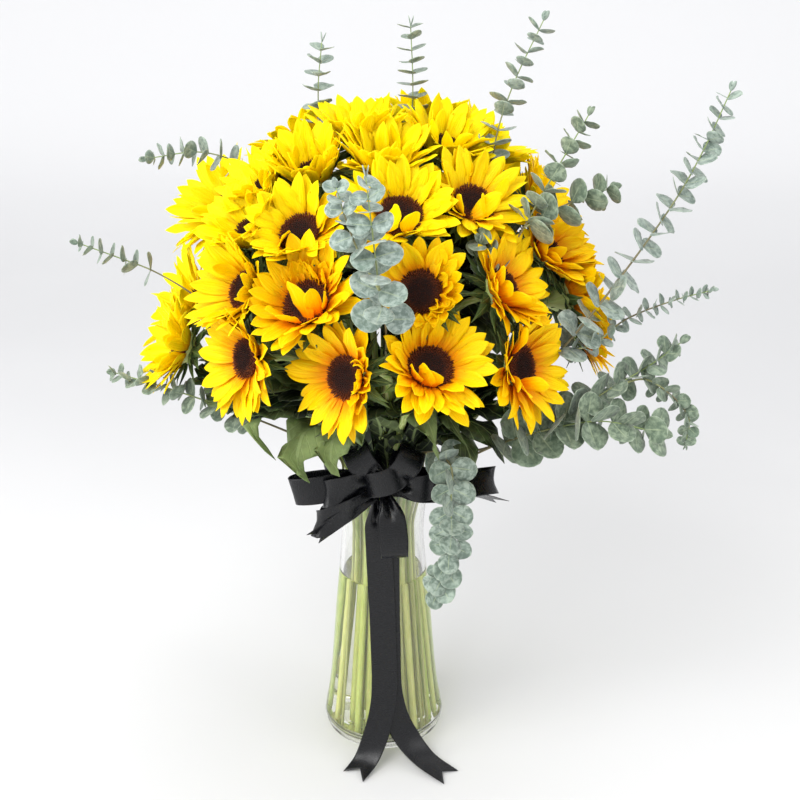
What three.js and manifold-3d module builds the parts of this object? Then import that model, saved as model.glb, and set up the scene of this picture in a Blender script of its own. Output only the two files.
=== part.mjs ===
// Sunflowers and eucalyptus in a waisted glass vase of water, tied with a satin ribbon bow.
// Millimetres, +Z up, origin at the centre of the vase's underside, front towards -Y.
import * as THREE from 'three';
import { mergeVertices } from 'three/addons/utils/BufferGeometryUtils.js';
import Module from 'manifold-3d';

const wasm = await Module();
wasm.setup();

// General
const GAP = 0.3;
const CLEARANCE = 0.6;
const SEED = 37;
const GOLDEN_ANGLE = 137.5;

// Vase: outer and inner wall as radius and height, from the axis outwards
const VASE_OUTER = [[50, 0], [57.5, 2.5], [61, 12], [54.6, 52], [47, 141], [42.4, 190],
  [40.2, 226], [43.4, 260], [52.5, 289]];
const VASE_RIM = [[52.2, 291.4], [50.5, 292]];
const VASE_INNER = [[48.6, 289.5], [39.6, 261], [36.2, 227], [38.4, 190], [43, 141], [50.6, 52],
  [55.5, 14], [50.5, 8]];
const VASE_SEGMENTS = 22;
const GLASS_FLOOR = 8;
const WATER_LEVEL = 180;

// The dome that the bloom discs lie on
const DOME_CENTRE_HEIGHT = 415;
const DOME_RADIUS = 185;
const DOME_RISE = 200;

// How the stems stand: a bundle at the vase's waist that fans out below and above
const FOOT_HEIGHT = 9.2;
const WAIST_HEIGHT = 232;
const RIM_HEIGHT = 298;
const FAN_ANGLE = 41;
const BUNDLE_RADIUS = 26;
const BUNDLE_LIMIT = 29.4;
const FOOT_SPREAD = 1.6;
const RIM_SPREAD = 1.36;
const STEM_RADIUS = 3.2;
const STEM_SIDES = 4;
const STEM_SPACING = 6.9;
const SPRAY_STEM_RADIUS = 1.6;
const SPRAY_STEM_SIDES = 4;
const SPRAY_SPACING = 6.5;
const SETTLE_PASSES = 400;
const HOLE_MARGIN = 0.55;
const NECK_LENGTH = 30;

// Places for eucalyptus stems in the ring between the bundle and the glass
const RING_FOOT = 46.5;
const RING_WAIST = 32.7;
const RING_WAIST_HEIGHT = 228;
const RING_NECK = 33.4;
const RING_NECK_HEIGHT = 245;
const RING_RIM = 44;
const RING_RIM_HEIGHT = 291;
const RING_COLLAR = 47;
const RING_COLLAR_HEIGHT = 311;

// Sunflower bloom
const PETALS = 10;
const PETAL_HALF_WIDTH = 9;
const PETAL_RIB = 0.8;
const PETAL_ARCH = 1.4;
const PETAL_WIDEST = 0.45;
const PETAL_TIP_DROOP = 12;
const LAYER_LIFT = 9;
const LOWEST_LIFT = 2;
const LOWEST_LINK_LIFT = -17;
const HIGHEST_LINK_LIFT = 66;
const LINK_TURN = 0.3;
const HIGHEST_LIFT = 56;
const PETAL_ROOT_INSET = 0.5;
const PETAL_CENTRE_TOP = -3;
const PETAL_CENTRE_BOTTOM = -6.2;
const DISC_SIDES = 8;
const DISC_SEAT = 0.5;
const DISC_HIGHEST = 11;
const DISC_INNER_SHARE = 0.66;
const DISC_EDGE = 1.6;
const DISC_RISE = 2;
const DISC_RELIEF = 0.8;
const BRACTS = 6;
const BRACT_TIP = 26;
const BRACT_TIP_HEIGHT = -9.5;
const BRACT_VALLEY = 16.5;
const BRACT_VALLEY_HEIGHT = -6.3;
const CALYX_TOP = -6.5;
const CALYX_DEPTH = -20;

// Blooms by group: place on the dome (azimuth, elevation), facing (azimuth, elevation),
// disc radius, petal length and cup angle. Azimuth 0 is the front, positive to the right.
const BLOOMS = {
  front_low: [[-8, 12, -40, 15, 16.5, 30, 28], [13, 14, 20, 45, 17.7, 31, 28],
    [39, 10, 55, 15, 17, 31, 26], [-36, 13, -55, 15, 16, 31, 28]],
  front_middle: [[-20, 28, -30, 45, 19, 31, 28], [12, 31, -15, 25, 17, 27, 26],
    [38, 29, 60, 30, 16, 29, 32], [-41, 28, -50, 25, 16, 29, 34]],
  left: [[-72, 6, -90, 15, 16, 31, 30], [-49, 42, -60, 45, 16, 30, 30], [-60, 53, -60, 50, 16, 28, 30],
    [-101, 8, -108, 14, 17, 31, 26], [-103, 37, -104, 38, 17, 32, 26], [-131, 8, -130, 16, 17, 31, 26]],
  right: [[72, 20, 96, 20, 16, 29, 30], [83, 7, 90, 10, 16, 28, 30], [66, 33, 65, 40, 16, 29, 30],
    [95, 40, 80, 40, 16, 31, 28], [111, 8, 112, 16, 17, 31, 26]],
  top: [[-28, 44, -30, 45, 17, 31, 30], [8, 50, 5, 50, 18, 32, 28], [41, 51, 30, 50, 17, 31, 30],
    [-39, 62, -35, 70, 16, 31, 28], [3, 67, 0, 75, 17, 31, 28], [-26, 80, -10, 85, 17, 31, 28],
    [65, 71, 40, 70, 17, 31, 28], [105, 60, 88, 60, 16, 31, 28], [140, 71, 150, 72, 17, 31, 28]],
  back: [[140, 8, 142, 16, 17, 32, 26], [169, 8, 168, 15, 18, 32, 26], [-161, 8, -162, 16, 17, 32, 26],
    [137, 37, 138, 38, 18, 33, 26], [177, 37, 176, 38, 18, 33, 26], [-143, 37, -142, 36, 18, 33, 26],
    [-125, 62, -126, 60, 17, 32, 28]],
};

// Eucalyptus sprays. ring is the azimuth of the stem's place by the glass, and a spray without it
// stands in the bundle. Each branch is a route of chosen points; bare counts the points before the
// first leaves, and leaf gives the leaf radius at the root and at the tip.
const SPRAYS = {
  left_high: { branches: [
    { route: [[-76, 4, 524], [-109, 0, 575], [-151, 0, 593], [-202, 0, 588]], bare: 1, leaf: [11, 6] }] },
  left_middle: { branches: [
    { route: [[-120, -22, 420], [-159, -30, 469], [-197, -30, 495], [-228, -25, 506], [-264, -20, 518]],
      bare: 2, leaf: [10, 6] }] },
  left_low: { ring: -54, branches: [
    { route: [[-64, -46, 338], [-110, -66, 370], [-152, -72, 390], [-193, -68, 403], [-233, -60, 412]],
      bare: 1, leaf: [12, 6] }] },
  top_left: { branches: [
    { route: [[-42, 8, 560], [-52, 10, 612], [-53, 10, 645], [-49, 10, 684]], bare: 1, leaf: [11, 7] }] },
  top: { branches: [
    { route: [[24, 6, 560], [27, 8, 612], [28, 14, 650], [26, 20, 696]], bare: 1, leaf: [10, 7] }] },
  top_right: { branches: [
    { route: [[82, -26, 540], [94, -30, 590], [99, -30, 620], [113, -15, 657], [136, 0, 703]],
      bare: 1, leaf: [10, 7] }] },
  right_high: { branches: [
    { route: [[96, -88, 510], [116, -106, 556], [135, -90, 586], [169, -60, 636]], bare: 1, leaf: [12, 7] },
    { route: [[116, -106, 556], [155, -80, 569], [190, -60, 576]], bare: 0, leaf: [14, 9] }] },
  right_long: { branches: [
    { route: [[112, -74, 398], [150, -102, 448], [180, -98, 486], [224, -74, 539], [250, -62, 577],
      [268, -52, 610], [287, -40, 652]], bare: 1, leaf: [14, 7] },
    { route: [[150, -102, 448], [178, -96, 452], [206, -85, 470], [248, -80, 486], [280, -75, 493]],
      bare: 0, leaf: [9, 5] }] },
  right_low: { ring: 60, branches: [
    { route: [[92, -60, 338], [135, -95, 376], [165, -110, 398], [194, -106, 416], [227, -100, 435],
      [252, -95, 453]], bare: 1, leaf: [14, 7] },
    { route: [[194, -106, 416], [222, -104, 424], [246, -105, 410], [262, -110, 390], [260, -115, 370]],
      bare: 1, leaf: [11, 7] }] },
  right_front: { ring: 49.5, branches: [
    { route: [[66, -66, 328], [103, -100, 362], [139, -120, 384], [183, -130, 397], [231, -125, 385]],
      bare: 1, leaf: [15, 10] }] },
  front: { branches: [
    { route: [[5, -128, 440], [6, -164, 480], [6, -190, 504], [2, -206, 536], [-3, -212, 584],
      [-7, -212, 621]], bare: 2, leaf: [14, 11] },
    { route: [[2, -206, 536], [-12, -203, 562], [-22, -205, 590], [-28, -205, 612]],
      bare: 1, leaf: [10, 8] }] },
  hanging: { ring: 26, branches: [
    { route: [[33, -64, 334], [50, -94, 350], [61, -114, 346], [61, -122, 318], [61, -122, 273],
      [50, -117, 221]], bare: 1, leaf: [15, 13] }] },
  back: { ring: 155, branches: [
    { route: [[14, 88, 345], [34, 148, 378], [62, 205, 402], [92, 252, 418]], bare: 1, leaf: [13, 7] },
    { route: [[34, 148, 378], [4, 196, 396], [-28, 236, 414]], bare: 0, leaf: [12, 8] }] },
};
const ROUND_LEAF_SPACING = 3.2;
const ROUND_LEAF_FOLD = 32;
const ROUND_LEAF_RIB = 1.1;
const ROUND_LEAF_ROOT = 0.3;
const ROUND_LEAF_RIM = [[0, 0], [0.8, -0.92], [1.8, -0.5], [1.8, 0.5], [0.8, 0.92]];
const ROUND_LEAF_TRIES = [[0, 1], [30, 1], [-30, 0.9], [60, 0.9], [0, 0.75], [40, 0.75], [0, 0.6]];
const ROUND_LEAF_JITTER = 14;

// Large sunflower leaves
const LEAF_LENGTH = 82;
const LEAF_HALF_WIDTH = 25;
const LEAF_RIB = 0.8;
const SMALL_LEAF = 12;
const LEAF_LOWEST = 322;
const LEAF_HIGHEST = 392;
const LEAF_STEP = 14;
const LEAF_RISE = 4;
const LEAF_SAG = 0.12;
const STEM_NEARNESS_HEIGHT = 340;
const FRONT_LEAVES = [
  [[-50, -42, 350], [-88, -88, 376], [-110, -100, 366], [-86, -112, 340], 9],
  [[-22, -58, 372], [-56, -104, 392], [-52, -126, 372], [-34, -134, 338], 25],
  [[-4, -60, 366], [-12, -110, 396], [-8, -142, 396], [2, -158, 384], 22],
  [[16, -56, 364], [28, -108, 392], [38, -134, 384], [44, -142, 356], 22],
  [[44, -46, 362], [86, -84, 376], [104, -104, 366], [110, -116, 344], 18],
  [[-66, -20, 362], [-112, -24, 388], [-146, -26, 382], [-168, -30, 362], 22],
  [[62, -12, 366], [112, -10, 394], [146, -4, 384], [164, 2, 362], 22],
];

// Ribbon
const RIBBON_WIDTH = 25;
const RIBBON_THICKNESS = 0.9;
const NOTCH_DEPTH = 11;
const GATHER = 0.4;
const BAND_INNER = 51;
const BAND_OUTER = 53.2;
const BAND_BOTTOM = 292.3;
const BAND_TOP = 306;
const KNOT_CENTRE = [3, -61, 305];
const KNOT_HALF_SIZE = [15, 9, 17];
const BOW_STRIPS = [
  { name: 'left outer loop', across: [-0.1, 0.1, 0.99], route: [[-6, -62, 307], [-34, -78, 307],
    [-66, -83, 303], [-84, -76, 300], [-82, -66, 299], [-56, -61, 301], [-28, -59, 304], [-4, -58, 306]] },
  { name: 'left inner loop', across: [0.36, 0, 0.93], route: [[-4, -66, 300], [-28, -88, 291],
    [-50, -93, 281], [-59, -87, 276], [-53, -79, 278], [-28, -74, 287], [-4, -64, 297]] },
  { name: 'centre loop', across: [1, 0, 0.05], route: [[3, -66, 298], [9, -82, 282], [12, -89, 260],
    [12, -88, 244], [12, -81, 238], [11, -75, 247], [8, -71, 270], [4, -67, 292]] },
  { name: 'right loop', across: [0.08, 0.1, 0.99], route: [[8, -63, 306], [30, -78, 304], [46, -76, 303],
    [49, -67, 303], [30, -61, 304], [8, -58, 306]] },
  { name: 'far right loop', across: [-0.05, 0.24, 0.97], route: [[8, -62, 298], [50, -68, 296],
    [92, -61, 293], [109, -50, 292], [106, -42, 293], [86, -46, 294], [52, -56, 297], [14, -58, 301]] },
  { name: 'left short end', across: [0.66, 0, -0.75], notched: true, route: [[-4, -66, 294],
    [-28, -86, 280], [-56, -89, 264]] },
  { name: 'right short end', across: [0.1, -0.24, 0.96], notched: true, route: [[8, -59, 292],
    [52, -62, 285], [90, -56, 279], [112, -50, 275]] },
];
const TAIL_STRIPS = {
  ribbon_tail_left: { route: [[3, -62.6, 287.9], [3, -63.4, 226], [3, -64.4, 138], [1, -67.4, 69],
    [-6, -73, 34], [-17, -84, 9], [-29, -99, 1.4]],
  across: [[1, 0, 0], [1, 0, 0], [1, 0, 0], [1, -0.02, 0], [0.99, -0.1, 0], [0.88, -0.47, 0],
    [0.8, -0.6, 0]] },
  ribbon_tail_right: { route: [[4, -60.6, 287.6], [4, -61.1, 226], [5, -62.1, 138], [8, -64.4, 69],
    [19, -68, 34], [41, -81, 9], [67, -100, 1.4]],
  across: [[1, 0, 0], [1, 0, 0], [1, 0, 0], [1, 0.02, 0], [0.99, 0.12, 0], [0.74, 0.67, 0],
    [0.46, 0.89, 0]] },
};

// The largest scrap of a cut that is dropped, in cubic millimetres
const SCRAP_VOLUME = 4;

// Materials
const GLASS = new THREE.MeshStandardMaterial({
  color: 0xdfeee6, roughness: 0.05, metalness: 0, transparent: true, opacity: 0.35 });
const WATER = new THREE.MeshStandardMaterial({
  color: 0xcfdcae, roughness: 0.05, metalness: 0, transparent: true, opacity: 0.4 });
const GREEN = new THREE.MeshStandardMaterial({ color: 0x6f9440, roughness: 0.7, metalness: 0 });
const YELLOW = new THREE.MeshStandardMaterial({ color: 0xfdbb0a, roughness: 0.65, metalness: 0 });
const BROWN = new THREE.MeshStandardMaterial({ color: 0x36200f, roughness: 0.9, metalness: 0 });
const FROSTED_GREEN = new THREE.MeshStandardMaterial({ color: 0x7f9d90, roughness: 0.75, metalness: 0 });
const BLACK_SATIN = new THREE.MeshStandardMaterial({ color: 0x101114, roughness: 0.35, metalness: 0 });

// Small helpers
const vector = (point) => new THREE.Vector3(...point);
const radians = THREE.MathUtils.degToRad;
const mix = (a, b, share) => a + (b - a) * share;

function direction(azimuth, elevation) {
  const level = Math.cos(radians(elevation));
  return new THREE.Vector3(
    Math.sin(radians(azimuth)) * level,
    -Math.cos(radians(azimuth)) * level,
    Math.sin(radians(elevation)));
}

function seededRandom(seed) {
  let state = seed;
  return () => {
    state = (state * 1664525 + 1013904223) % 4294967296;
    return state / 4294967296;
  };
}

const random = seededRandom(SEED);
const jitter = (amount) => (random() * 2 - 1) * amount;

// Solids
// A closed solid from its corners and triangles, turned so that the faces point out
function solidFromFaces(points, faces) {
  let sixVolumes = 0;
  for (const [a, b, c] of faces) {
    sixVolumes += points[a].dot(new THREE.Vector3().crossVectors(points[b], points[c]));
  }
  const outward = sixVolumes > 0 ? faces : faces.map(([a, b, c]) => [a, c, b]);
  return new wasm.Manifold(new wasm.Mesh({
    numProp: 3,
    vertProperties: new Float32Array(points.flatMap((point) => point.toArray())),
    triVerts: new Uint32Array(outward.flat()) }));
}

function solidFromGeometry(geometry) {
  geometry.deleteAttribute('normal');
  geometry.deleteAttribute('uv');
  const merged = mergeVertices(geometry, 1e-4);
  const corners = merged.attributes.position;
  const points = Array.from({ length: corners.count }, (_, i) => (
    new THREE.Vector3().fromBufferAttribute(corners, i)));
  const faces = Array.from({ length: merged.index.count / 3 }, (_, i) => (
    [0, 1, 2].map((k) => merged.index.getX(3 * i + k))));
  return solidFromFaces(points, faces);
}

// A tent: a closed rim of points roofed by one point, with a nearly flat underside
function tent(rim, top) {
  const faces = rim.map((_, i) => [i, (i + 1) % rim.length, rim.length]);
  for (let i = 1; i + 1 < rim.length; i++) faces.push([0, i + 1, i]);
  return solidFromFaces([...rim, top], faces);
}

// Rings of equal count joined one to the next, with a flat cap or a single point at each end.
// A thin blade is split into triangles alike on its two faces, so that they never cross.
function loft(rings, isBlade = false) {
  const points = rings.flat();
  const starts = [];
  let count = 0;
  for (const ring of rings) {
    starts.push(count);
    count += ring.length;
  }
  const faces = [];
  for (let k = 0; k + 1 < rings.length; k++) {
    const from = rings[k].length;
    const to = rings[k + 1].length;
    const sides = Math.max(from, to);
    for (let i = 0; i < sides; i++) {
      const next = (i + 1) % sides;
      const a = starts[k] + (from > 1 ? i : 0);
      const b = starts[k] + (from > 1 ? next : 0);
      const c = starts[k + 1] + (to > 1 ? i : 0);
      const d = starts[k + 1] + (to > 1 ? next : 0);
      const isSecondFace = isBlade && i >= sides / 2 && from > 1 && to > 1;
      if (isSecondFace) {
        faces.push([a, b, d], [a, d, c]);
        continue;
      }
      if (from > 1) faces.push([a, b, c]);
      if (to > 1) faces.push([b, d, c]);
    }
  }
  const last = rings.length - 1;
  for (let i = 1; i + 1 < rings[0].length; i++) faces.push([0, i + 1, i]);
  for (let i = 1; i + 1 < rings[last].length; i++) {
    faces.push([starts[last], starts[last] + i, starts[last] + i + 1]);
  }
  return solidFromFaces(points, faces);
}

// A smooth route whose stations fall on its own chosen points
class Route extends THREE.CatmullRomCurve3 {
  getPointAt(share, target) {
    return this.getPoint(share, target);
  }

  getTangentAt(share, target) {
    return this.getTangent(share, target);
  }
}

function tube(points, radius, sides) {
  const corners = Array.from({ length: sides }, (_, i) => new THREE.Vector2(
    radius * Math.cos(2 * Math.PI * i / sides),
    radius * Math.sin(2 * Math.PI * i / sides)));
  const section = new THREE.Shape(corners);
  const extrudePath = new Route(points);
  return solidFromGeometry(new THREE.ExtrudeGeometry(section, { steps: points.length - 1, extrudePath }));
}

// The rings of corners of such a tube, one at each point
function tubeRings(points, radius, sides) {
  const { normals, binormals } = new Route(points).computeFrenetFrames(points.length - 1, false);
  return points.map((point, k) => Array.from({ length: sides }, (_, i) => point.clone()
    .addScaledVector(normals[k], radius * Math.cos(2 * Math.PI * i / sides))
    .addScaledVector(binormals[k], radius * Math.sin(2 * Math.PI * i / sides))));
}

// Solids placed so far, which later leaves and petals are bent clear of
const placed = [];

function place(solid, owner) {
  placed.push({ solid, box: solid.boundingBox(), owner });
}

function boxesMeet(a, b) {
  return [0, 1, 2].every((axis) => a.min[axis] <= b.max[axis] && b.min[axis] <= a.max[axis]);
}

function meetsPlaced(solid, skips) {
  const box = solid.boundingBox();
  return placed.some((other) => {
    if (skips.includes(other.owner) || !boxesMeet(box, other.box)) return false;
    const common = solid.intersect(other.solid);
    const meets = !common.isEmpty();
    common.delete();
    return meets;
  });
}

// One body of several solids: loose scraps of a cut are dropped, and a second real body is an error
function oneBody(name, solids) {
  const bodies = wasm.Manifold.union(solids).decompose();
  bodies.sort((a, b) => b.volume() - a.volume());
  if (bodies.length > 1 && bodies[1].volume() > SCRAP_VOLUME) {
    throw new Error(`${name} is in ${bodies.length} bodies: ${bodies.map((b) => b.volume().toFixed(1))}`);
  }
  return bodies[0];
}

const bouquet = new THREE.Group();

function addNode(name, solid, material) {
  const { vertProperties, triVerts } = solid.getMesh();
  const geometry = new THREE.BufferGeometry();
  geometry.setAttribute('position', new THREE.BufferAttribute(vertProperties, 3));
  geometry.setIndex(new THREE.BufferAttribute(triVerts, 1));
  const mesh = new THREE.Mesh(geometry, material);
  mesh.name = name;
  bouquet.add(mesh);
}

// Blooms: each has a centre on the dome and a frame of its own
const blooms = Object.entries(BLOOMS).flatMap(([group, rows]) => rows.map((row) => {
  const [azimuth, elevation, facingAzimuth, facingElevation, discRadius, petalLength, cup] = row;
  const out = direction(azimuth, elevation);
  const centre = new THREE.Vector3(
    out.x * DOME_RADIUS, out.y * DOME_RADIUS, DOME_CENTRE_HEIGHT + out.z * DOME_RISE);
  const normal = direction(facingAzimuth, facingElevation);
  const across = direction(facingAzimuth + 90, 0);
  const up = new THREE.Vector3().crossVectors(normal, across);
  return { group, centre, normal, across, up, discRadius, petalLength, cup, petals: [] };
}));

// A point of a bloom by its turn round the disc, distance from the axis and height along the axis
function bloomPoint(bloom, turn, radius, height) {
  return bloom.centre.clone()
    .addScaledVector(bloom.across, radius * Math.cos(turn))
    .addScaledVector(bloom.up, radius * Math.sin(turn))
    .addScaledVector(bloom.normal, height);
}

// Places of the stems in the bundle at the waist, in the order of their directions, pushed apart
function bundlePlace(target) {
  const reach = Math.hypot(target.x, target.y);
  const angle = THREE.MathUtils.radToDeg(Math.atan2(reach, target.z - WAIST_HEIGHT));
  return new THREE.Vector2(target.x, target.y).setLength(BUNDLE_RADIUS * angle / FAN_ANGLE);
}

function settleBundle(stems) {
  for (let pass = 0; pass < SETTLE_PASSES; pass++) {
    for (let i = 0; i < stems.length; i++) {
      for (let j = i + 1; j < stems.length; j++) {
        const needed = stems[i].isSpray || stems[j].isSpray ? SPRAY_SPACING : STEM_SPACING;
        const apart = new THREE.Vector2().subVectors(stems[j].place, stems[i].place);
        const shortfall = needed - apart.length();
        if (shortfall <= 0) continue;
        apart.setLength(shortfall / 2);
        stems[i].place.sub(apart);
        stems[j].place.add(apart);
      }
    }
    for (const stem of stems) {
      const limit = BUNDLE_LIMIT - (stem.isSpray ? SPRAY_STEM_RADIUS : STEM_RADIUS);
      if (stem.place.length() > limit) stem.place.setLength(limit);
    }
  }
}

function bundleRoute(place) {
  return [
    new THREE.Vector3(place.x * FOOT_SPREAD, place.y * FOOT_SPREAD, FOOT_HEIGHT),
    new THREE.Vector3(place.x, place.y, WAIST_HEIGHT),
    new THREE.Vector3(place.x * RIM_SPREAD, place.y * RIM_SPREAD, RIM_HEIGHT)];
}

function ringRoute(azimuth) {
  const out = direction(azimuth, 0);
  const profile = [[RING_FOOT, FOOT_HEIGHT], [RING_WAIST, RING_WAIST_HEIGHT], [RING_NECK, RING_NECK_HEIGHT],
    [RING_RIM, RING_RIM_HEIGHT], [RING_COLLAR, RING_COLLAR_HEIGHT]];
  return profile.map(([radius, height]) => out.clone().multiplyScalar(radius).setZ(height));
}

const sprays = Object.entries(SPRAYS).map(([name, spray]) => ({
  name,
  ring: spray.ring,
  branches: spray.branches.map((branch) => ({ ...branch, route: branch.route.map(vector) })) }));
const bundled = [
  ...blooms.map((bloom) => ({ item: bloom, isSpray: false, place: bundlePlace(bloom.centre) })),
  ...sprays.filter((spray) => spray.ring === undefined).map((spray) => (
    { item: spray, isSpray: true, place: bundlePlace(spray.branches[0].route[1]) }))];
settleBundle(bundled);
for (const { item, place: spot } of bundled) item.lower = bundleRoute(spot);
for (const spray of sprays) {
  if (spray.ring !== undefined) spray.lower = ringRoute(spray.ring);
}

// Sunflower stem and calyx: the stem opens into a cup whose rim is a star of pointed bracts
function makeStem(bloom) {
  bloom.stemRoute = [
    ...bloom.lower,
    bloomPoint(bloom, 0, 0, CALYX_DEPTH - NECK_LENGTH),
    bloomPoint(bloom, 0, 0, CALYX_DEPTH)];
  const rings = tubeRings(bloom.stemRoute, STEM_RADIUS, STEM_SIDES);
  const throat = new THREE.Vector3().subVectors(rings.at(-1)[0], bloom.stemRoute.at(-1));
  const quarter = new THREE.Vector3().subVectors(rings.at(-1)[1], bloom.stemRoute.at(-1));
  const start = Math.atan2(throat.dot(bloom.up), throat.dot(bloom.across));
  const handed = Math.sign(new THREE.Vector3().crossVectors(throat, quarter).dot(bloom.normal));
  const rim = Array.from({ length: 2 * BRACTS }, (_, i) => {
    const turn = start + handed * Math.PI * i / BRACTS;
    return i % 2
      ? bloomPoint(bloom, turn, BRACT_VALLEY, BRACT_VALLEY_HEIGHT)
      : bloomPoint(bloom, turn, BRACT_TIP, BRACT_TIP_HEIGHT);
  });
  const points = [...rings.flat(), ...rim, bloomPoint(bloom, 0, 0, CALYX_TOP)];
  const faces = [];
  for (let i = 1; i + 1 < STEM_SIDES; i++) faces.push([0, i + 1, i]);
  for (let k = 0; k + 1 < rings.length; k++) {
    for (let i = 0; i < STEM_SIDES; i++) {
      const next = (i + 1) % STEM_SIDES;
      const [a, b] = [k * STEM_SIDES + i, k * STEM_SIDES + next];
      faces.push([a, b, a + STEM_SIDES], [b, b + STEM_SIDES, a + STEM_SIDES]);
    }
  }
  const throatStart = (rings.length - 1) * STEM_SIDES;
  const rimStart = rings.length * STEM_SIDES;
  const share = rim.length / STEM_SIDES;
  for (let i = 0; i < STEM_SIDES; i++) {
    const [a, b] = [throatStart + i, throatStart + (i + 1) % STEM_SIDES];
    const [r0, r1, r2, r3] = [0, 1, 2, 3].map((k) => rimStart + (i * share + k) % rim.length);
    faces.push([a, r1, r0], [a, b, r1], [b, r2, r1], [b, r3, r2]);
  }
  const top = points.length - 1;
  for (let i = 0; i < rim.length; i++) faces.push([rimStart + i, rimStart + (i + 1) % rim.length, top]);
  return solidFromFaces(points, faces);
}

// The space that a bloom's disc takes, at its most
function discSpace(bloom) {
  const ring = (height) => Array.from({ length: DISC_SIDES }, (_, i) => (
    bloomPoint(bloom, 2 * Math.PI * i / DISC_SIDES, bloom.discRadius, height)));
  return loft([ring(PETAL_CENTRE_TOP), ring(DISC_HIGHEST)]);
}

// Petal outline for a lift and a length; extra grows it all round for the test against others
function petalShape(bloom, turn, lift, length, extra = 0) {
  const radial = bloom.across.clone().multiplyScalar(Math.cos(turn));
  radial.addScaledVector(bloom.up, Math.sin(turn));
  const side = new THREE.Vector3().crossVectors(bloom.normal, radial);
  const along = (angle) => radial.clone().multiplyScalar(Math.cos(radians(angle)))
    .addScaledVector(bloom.normal, Math.sin(radians(angle)));
  const square = along(lift + 90);
  const root = bloomPoint(bloom, turn, bloom.discRadius - PETAL_ROOT_INSET, 0);
  const middle = root.clone().addScaledVector(along(lift), length * PETAL_WIDEST);
  const tip = middle.clone().addScaledVector(
    along(lift - PETAL_TIP_DROOP), length * (1 - PETAL_WIDEST) + extra);
  const halfWidth = PETAL_HALF_WIDTH + extra;
  const edge = middle.clone().addScaledVector(square, -PETAL_ARCH - extra);
  return {
    tip,
    middle,
    root,
    rib: middle.clone().addScaledVector(square, PETAL_RIB + extra),
    left: edge.clone().addScaledVector(side, -halfWidth),
    right: edge.clone().addScaledVector(side, halfWidth),
    rootLeft: bloomPoint(bloom, turn - Math.PI / PETALS, bloom.discRadius - PETAL_ROOT_INSET, -extra),
    rootRight: bloomPoint(bloom, turn + Math.PI / PETALS, bloom.discRadius - PETAL_ROOT_INSET, -extra) };
}

function petalBlade(shape) {
  return tent([shape.rootLeft, shape.left, shape.tip, shape.right, shape.rootRight], shape.rib);
}

// The part of a petal past its root, which must not cross the petals beside it
function petalEnd(shape) {
  return tent([shape.left, shape.tip, shape.right], shape.rib);
}

// A petal is lifted, lowered or shortened until it is clear; the last try is a short upright one
function choosePetal(bloom, turn, lift, length, skips) {
  for (const shorter of [1, 0.85, 0.7, 0.55, 0.4]) {
    for (const turned of [0, 11, -11, 22, -20, 33]) {
      const tried = Math.min(Math.max(lift + turned, LOWEST_LIFT), HIGHEST_LIFT);
      const test = petalBlade(petalShape(bloom, turn, tried, length * shorter, CLEARANCE));
      const meets = meetsPlaced(test, skips);
      test.delete();
      if (!meets) return petalShape(bloom, turn, tried, length * shorter);
    }
  }
  return petalShape(bloom, turn, HIGHEST_LIFT, length * 0.3);
}

// A petal of one bloom is aimed into a petal of its neighbour, so that the two blooms are one body
function aimedPetals(from, to) {
  const tries = [];
  for (const petal of from.petals.filter((each) => !each.locked)) {
    for (const target of to.petals) {
      for (const share of [0.2, 0.4, 0.6, 0.8]) {
        const aim = new THREE.Vector3().lerpVectors(target.middle, target.tip, share);
        const offset = new THREE.Vector3().subVectors(aim, from.centre);
        const turn = Math.atan2(offset.dot(from.up), offset.dot(from.across));
        const turned = Math.abs(Math.atan2(Math.sin(turn - petal.turn), Math.cos(turn - petal.turn)));
        const root = bloomPoint(from, turn, from.discRadius - PETAL_ROOT_INSET, 0);
        const reach = new THREE.Vector3().subVectors(aim, root);
        const length = reach.length();
        const lift = THREE.MathUtils.radToDeg(Math.asin(reach.dot(from.normal) / length));
        const isOutside = offset.lengthSq() - offset.dot(from.normal) ** 2 > (from.discRadius + 8) ** 2;
        const isLiftAllowed = lift >= LOWEST_LINK_LIFT && lift <= HIGHEST_LINK_LIFT;
        if (!isOutside || turned > LINK_TURN || !isLiftAllowed) continue;
        const change = Math.abs(length - from.petalLength) + Math.abs(lift - from.cup) / 4;
        tries.push({ from, to, petal, target, aim, turn: petal.turn + Math.atan2(
          Math.sin(turn - petal.turn), Math.cos(turn - petal.turn)), length, lift, change });
      }
    }
  }
  return tries;
}

function linkBlooms(bloom, neighbours) {
  const tries = neighbours.flatMap((other) => [...aimedPetals(bloom, other), ...aimedPetals(other, bloom)]);
  tries.sort((a, b) => a.change - b.change);
  for (const { from, to, petal, target, aim, turn, length, lift } of tries) {
    const aimed = (extra) => {
      const shape = petalShape(from, turn, lift, length, extra);
      shape.tip.copy(aim);
      return shape;
    };
    if (meetsPlaced(petalBlade(aimed(CLEARANCE)), [from, to])) continue;
    const siblings = from.petals.filter((each) => each !== petal);
    const end = petalEnd(aimed(CLEARANCE));
    if (siblings.some((each) => !end.intersect(petalEnd(each)).isEmpty())) continue;
    target.locked = true;
    const link = { ...aimed(0), turn, locked: true };
    from.petals[from.petals.indexOf(petal)] = link;
    place(petalBlade(link), from);
    return;
  }
  throw new Error(`no link for a bloom of ${bloom.group} at ${bloom.centre.toArray().map(Math.round)}`);
}

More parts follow.
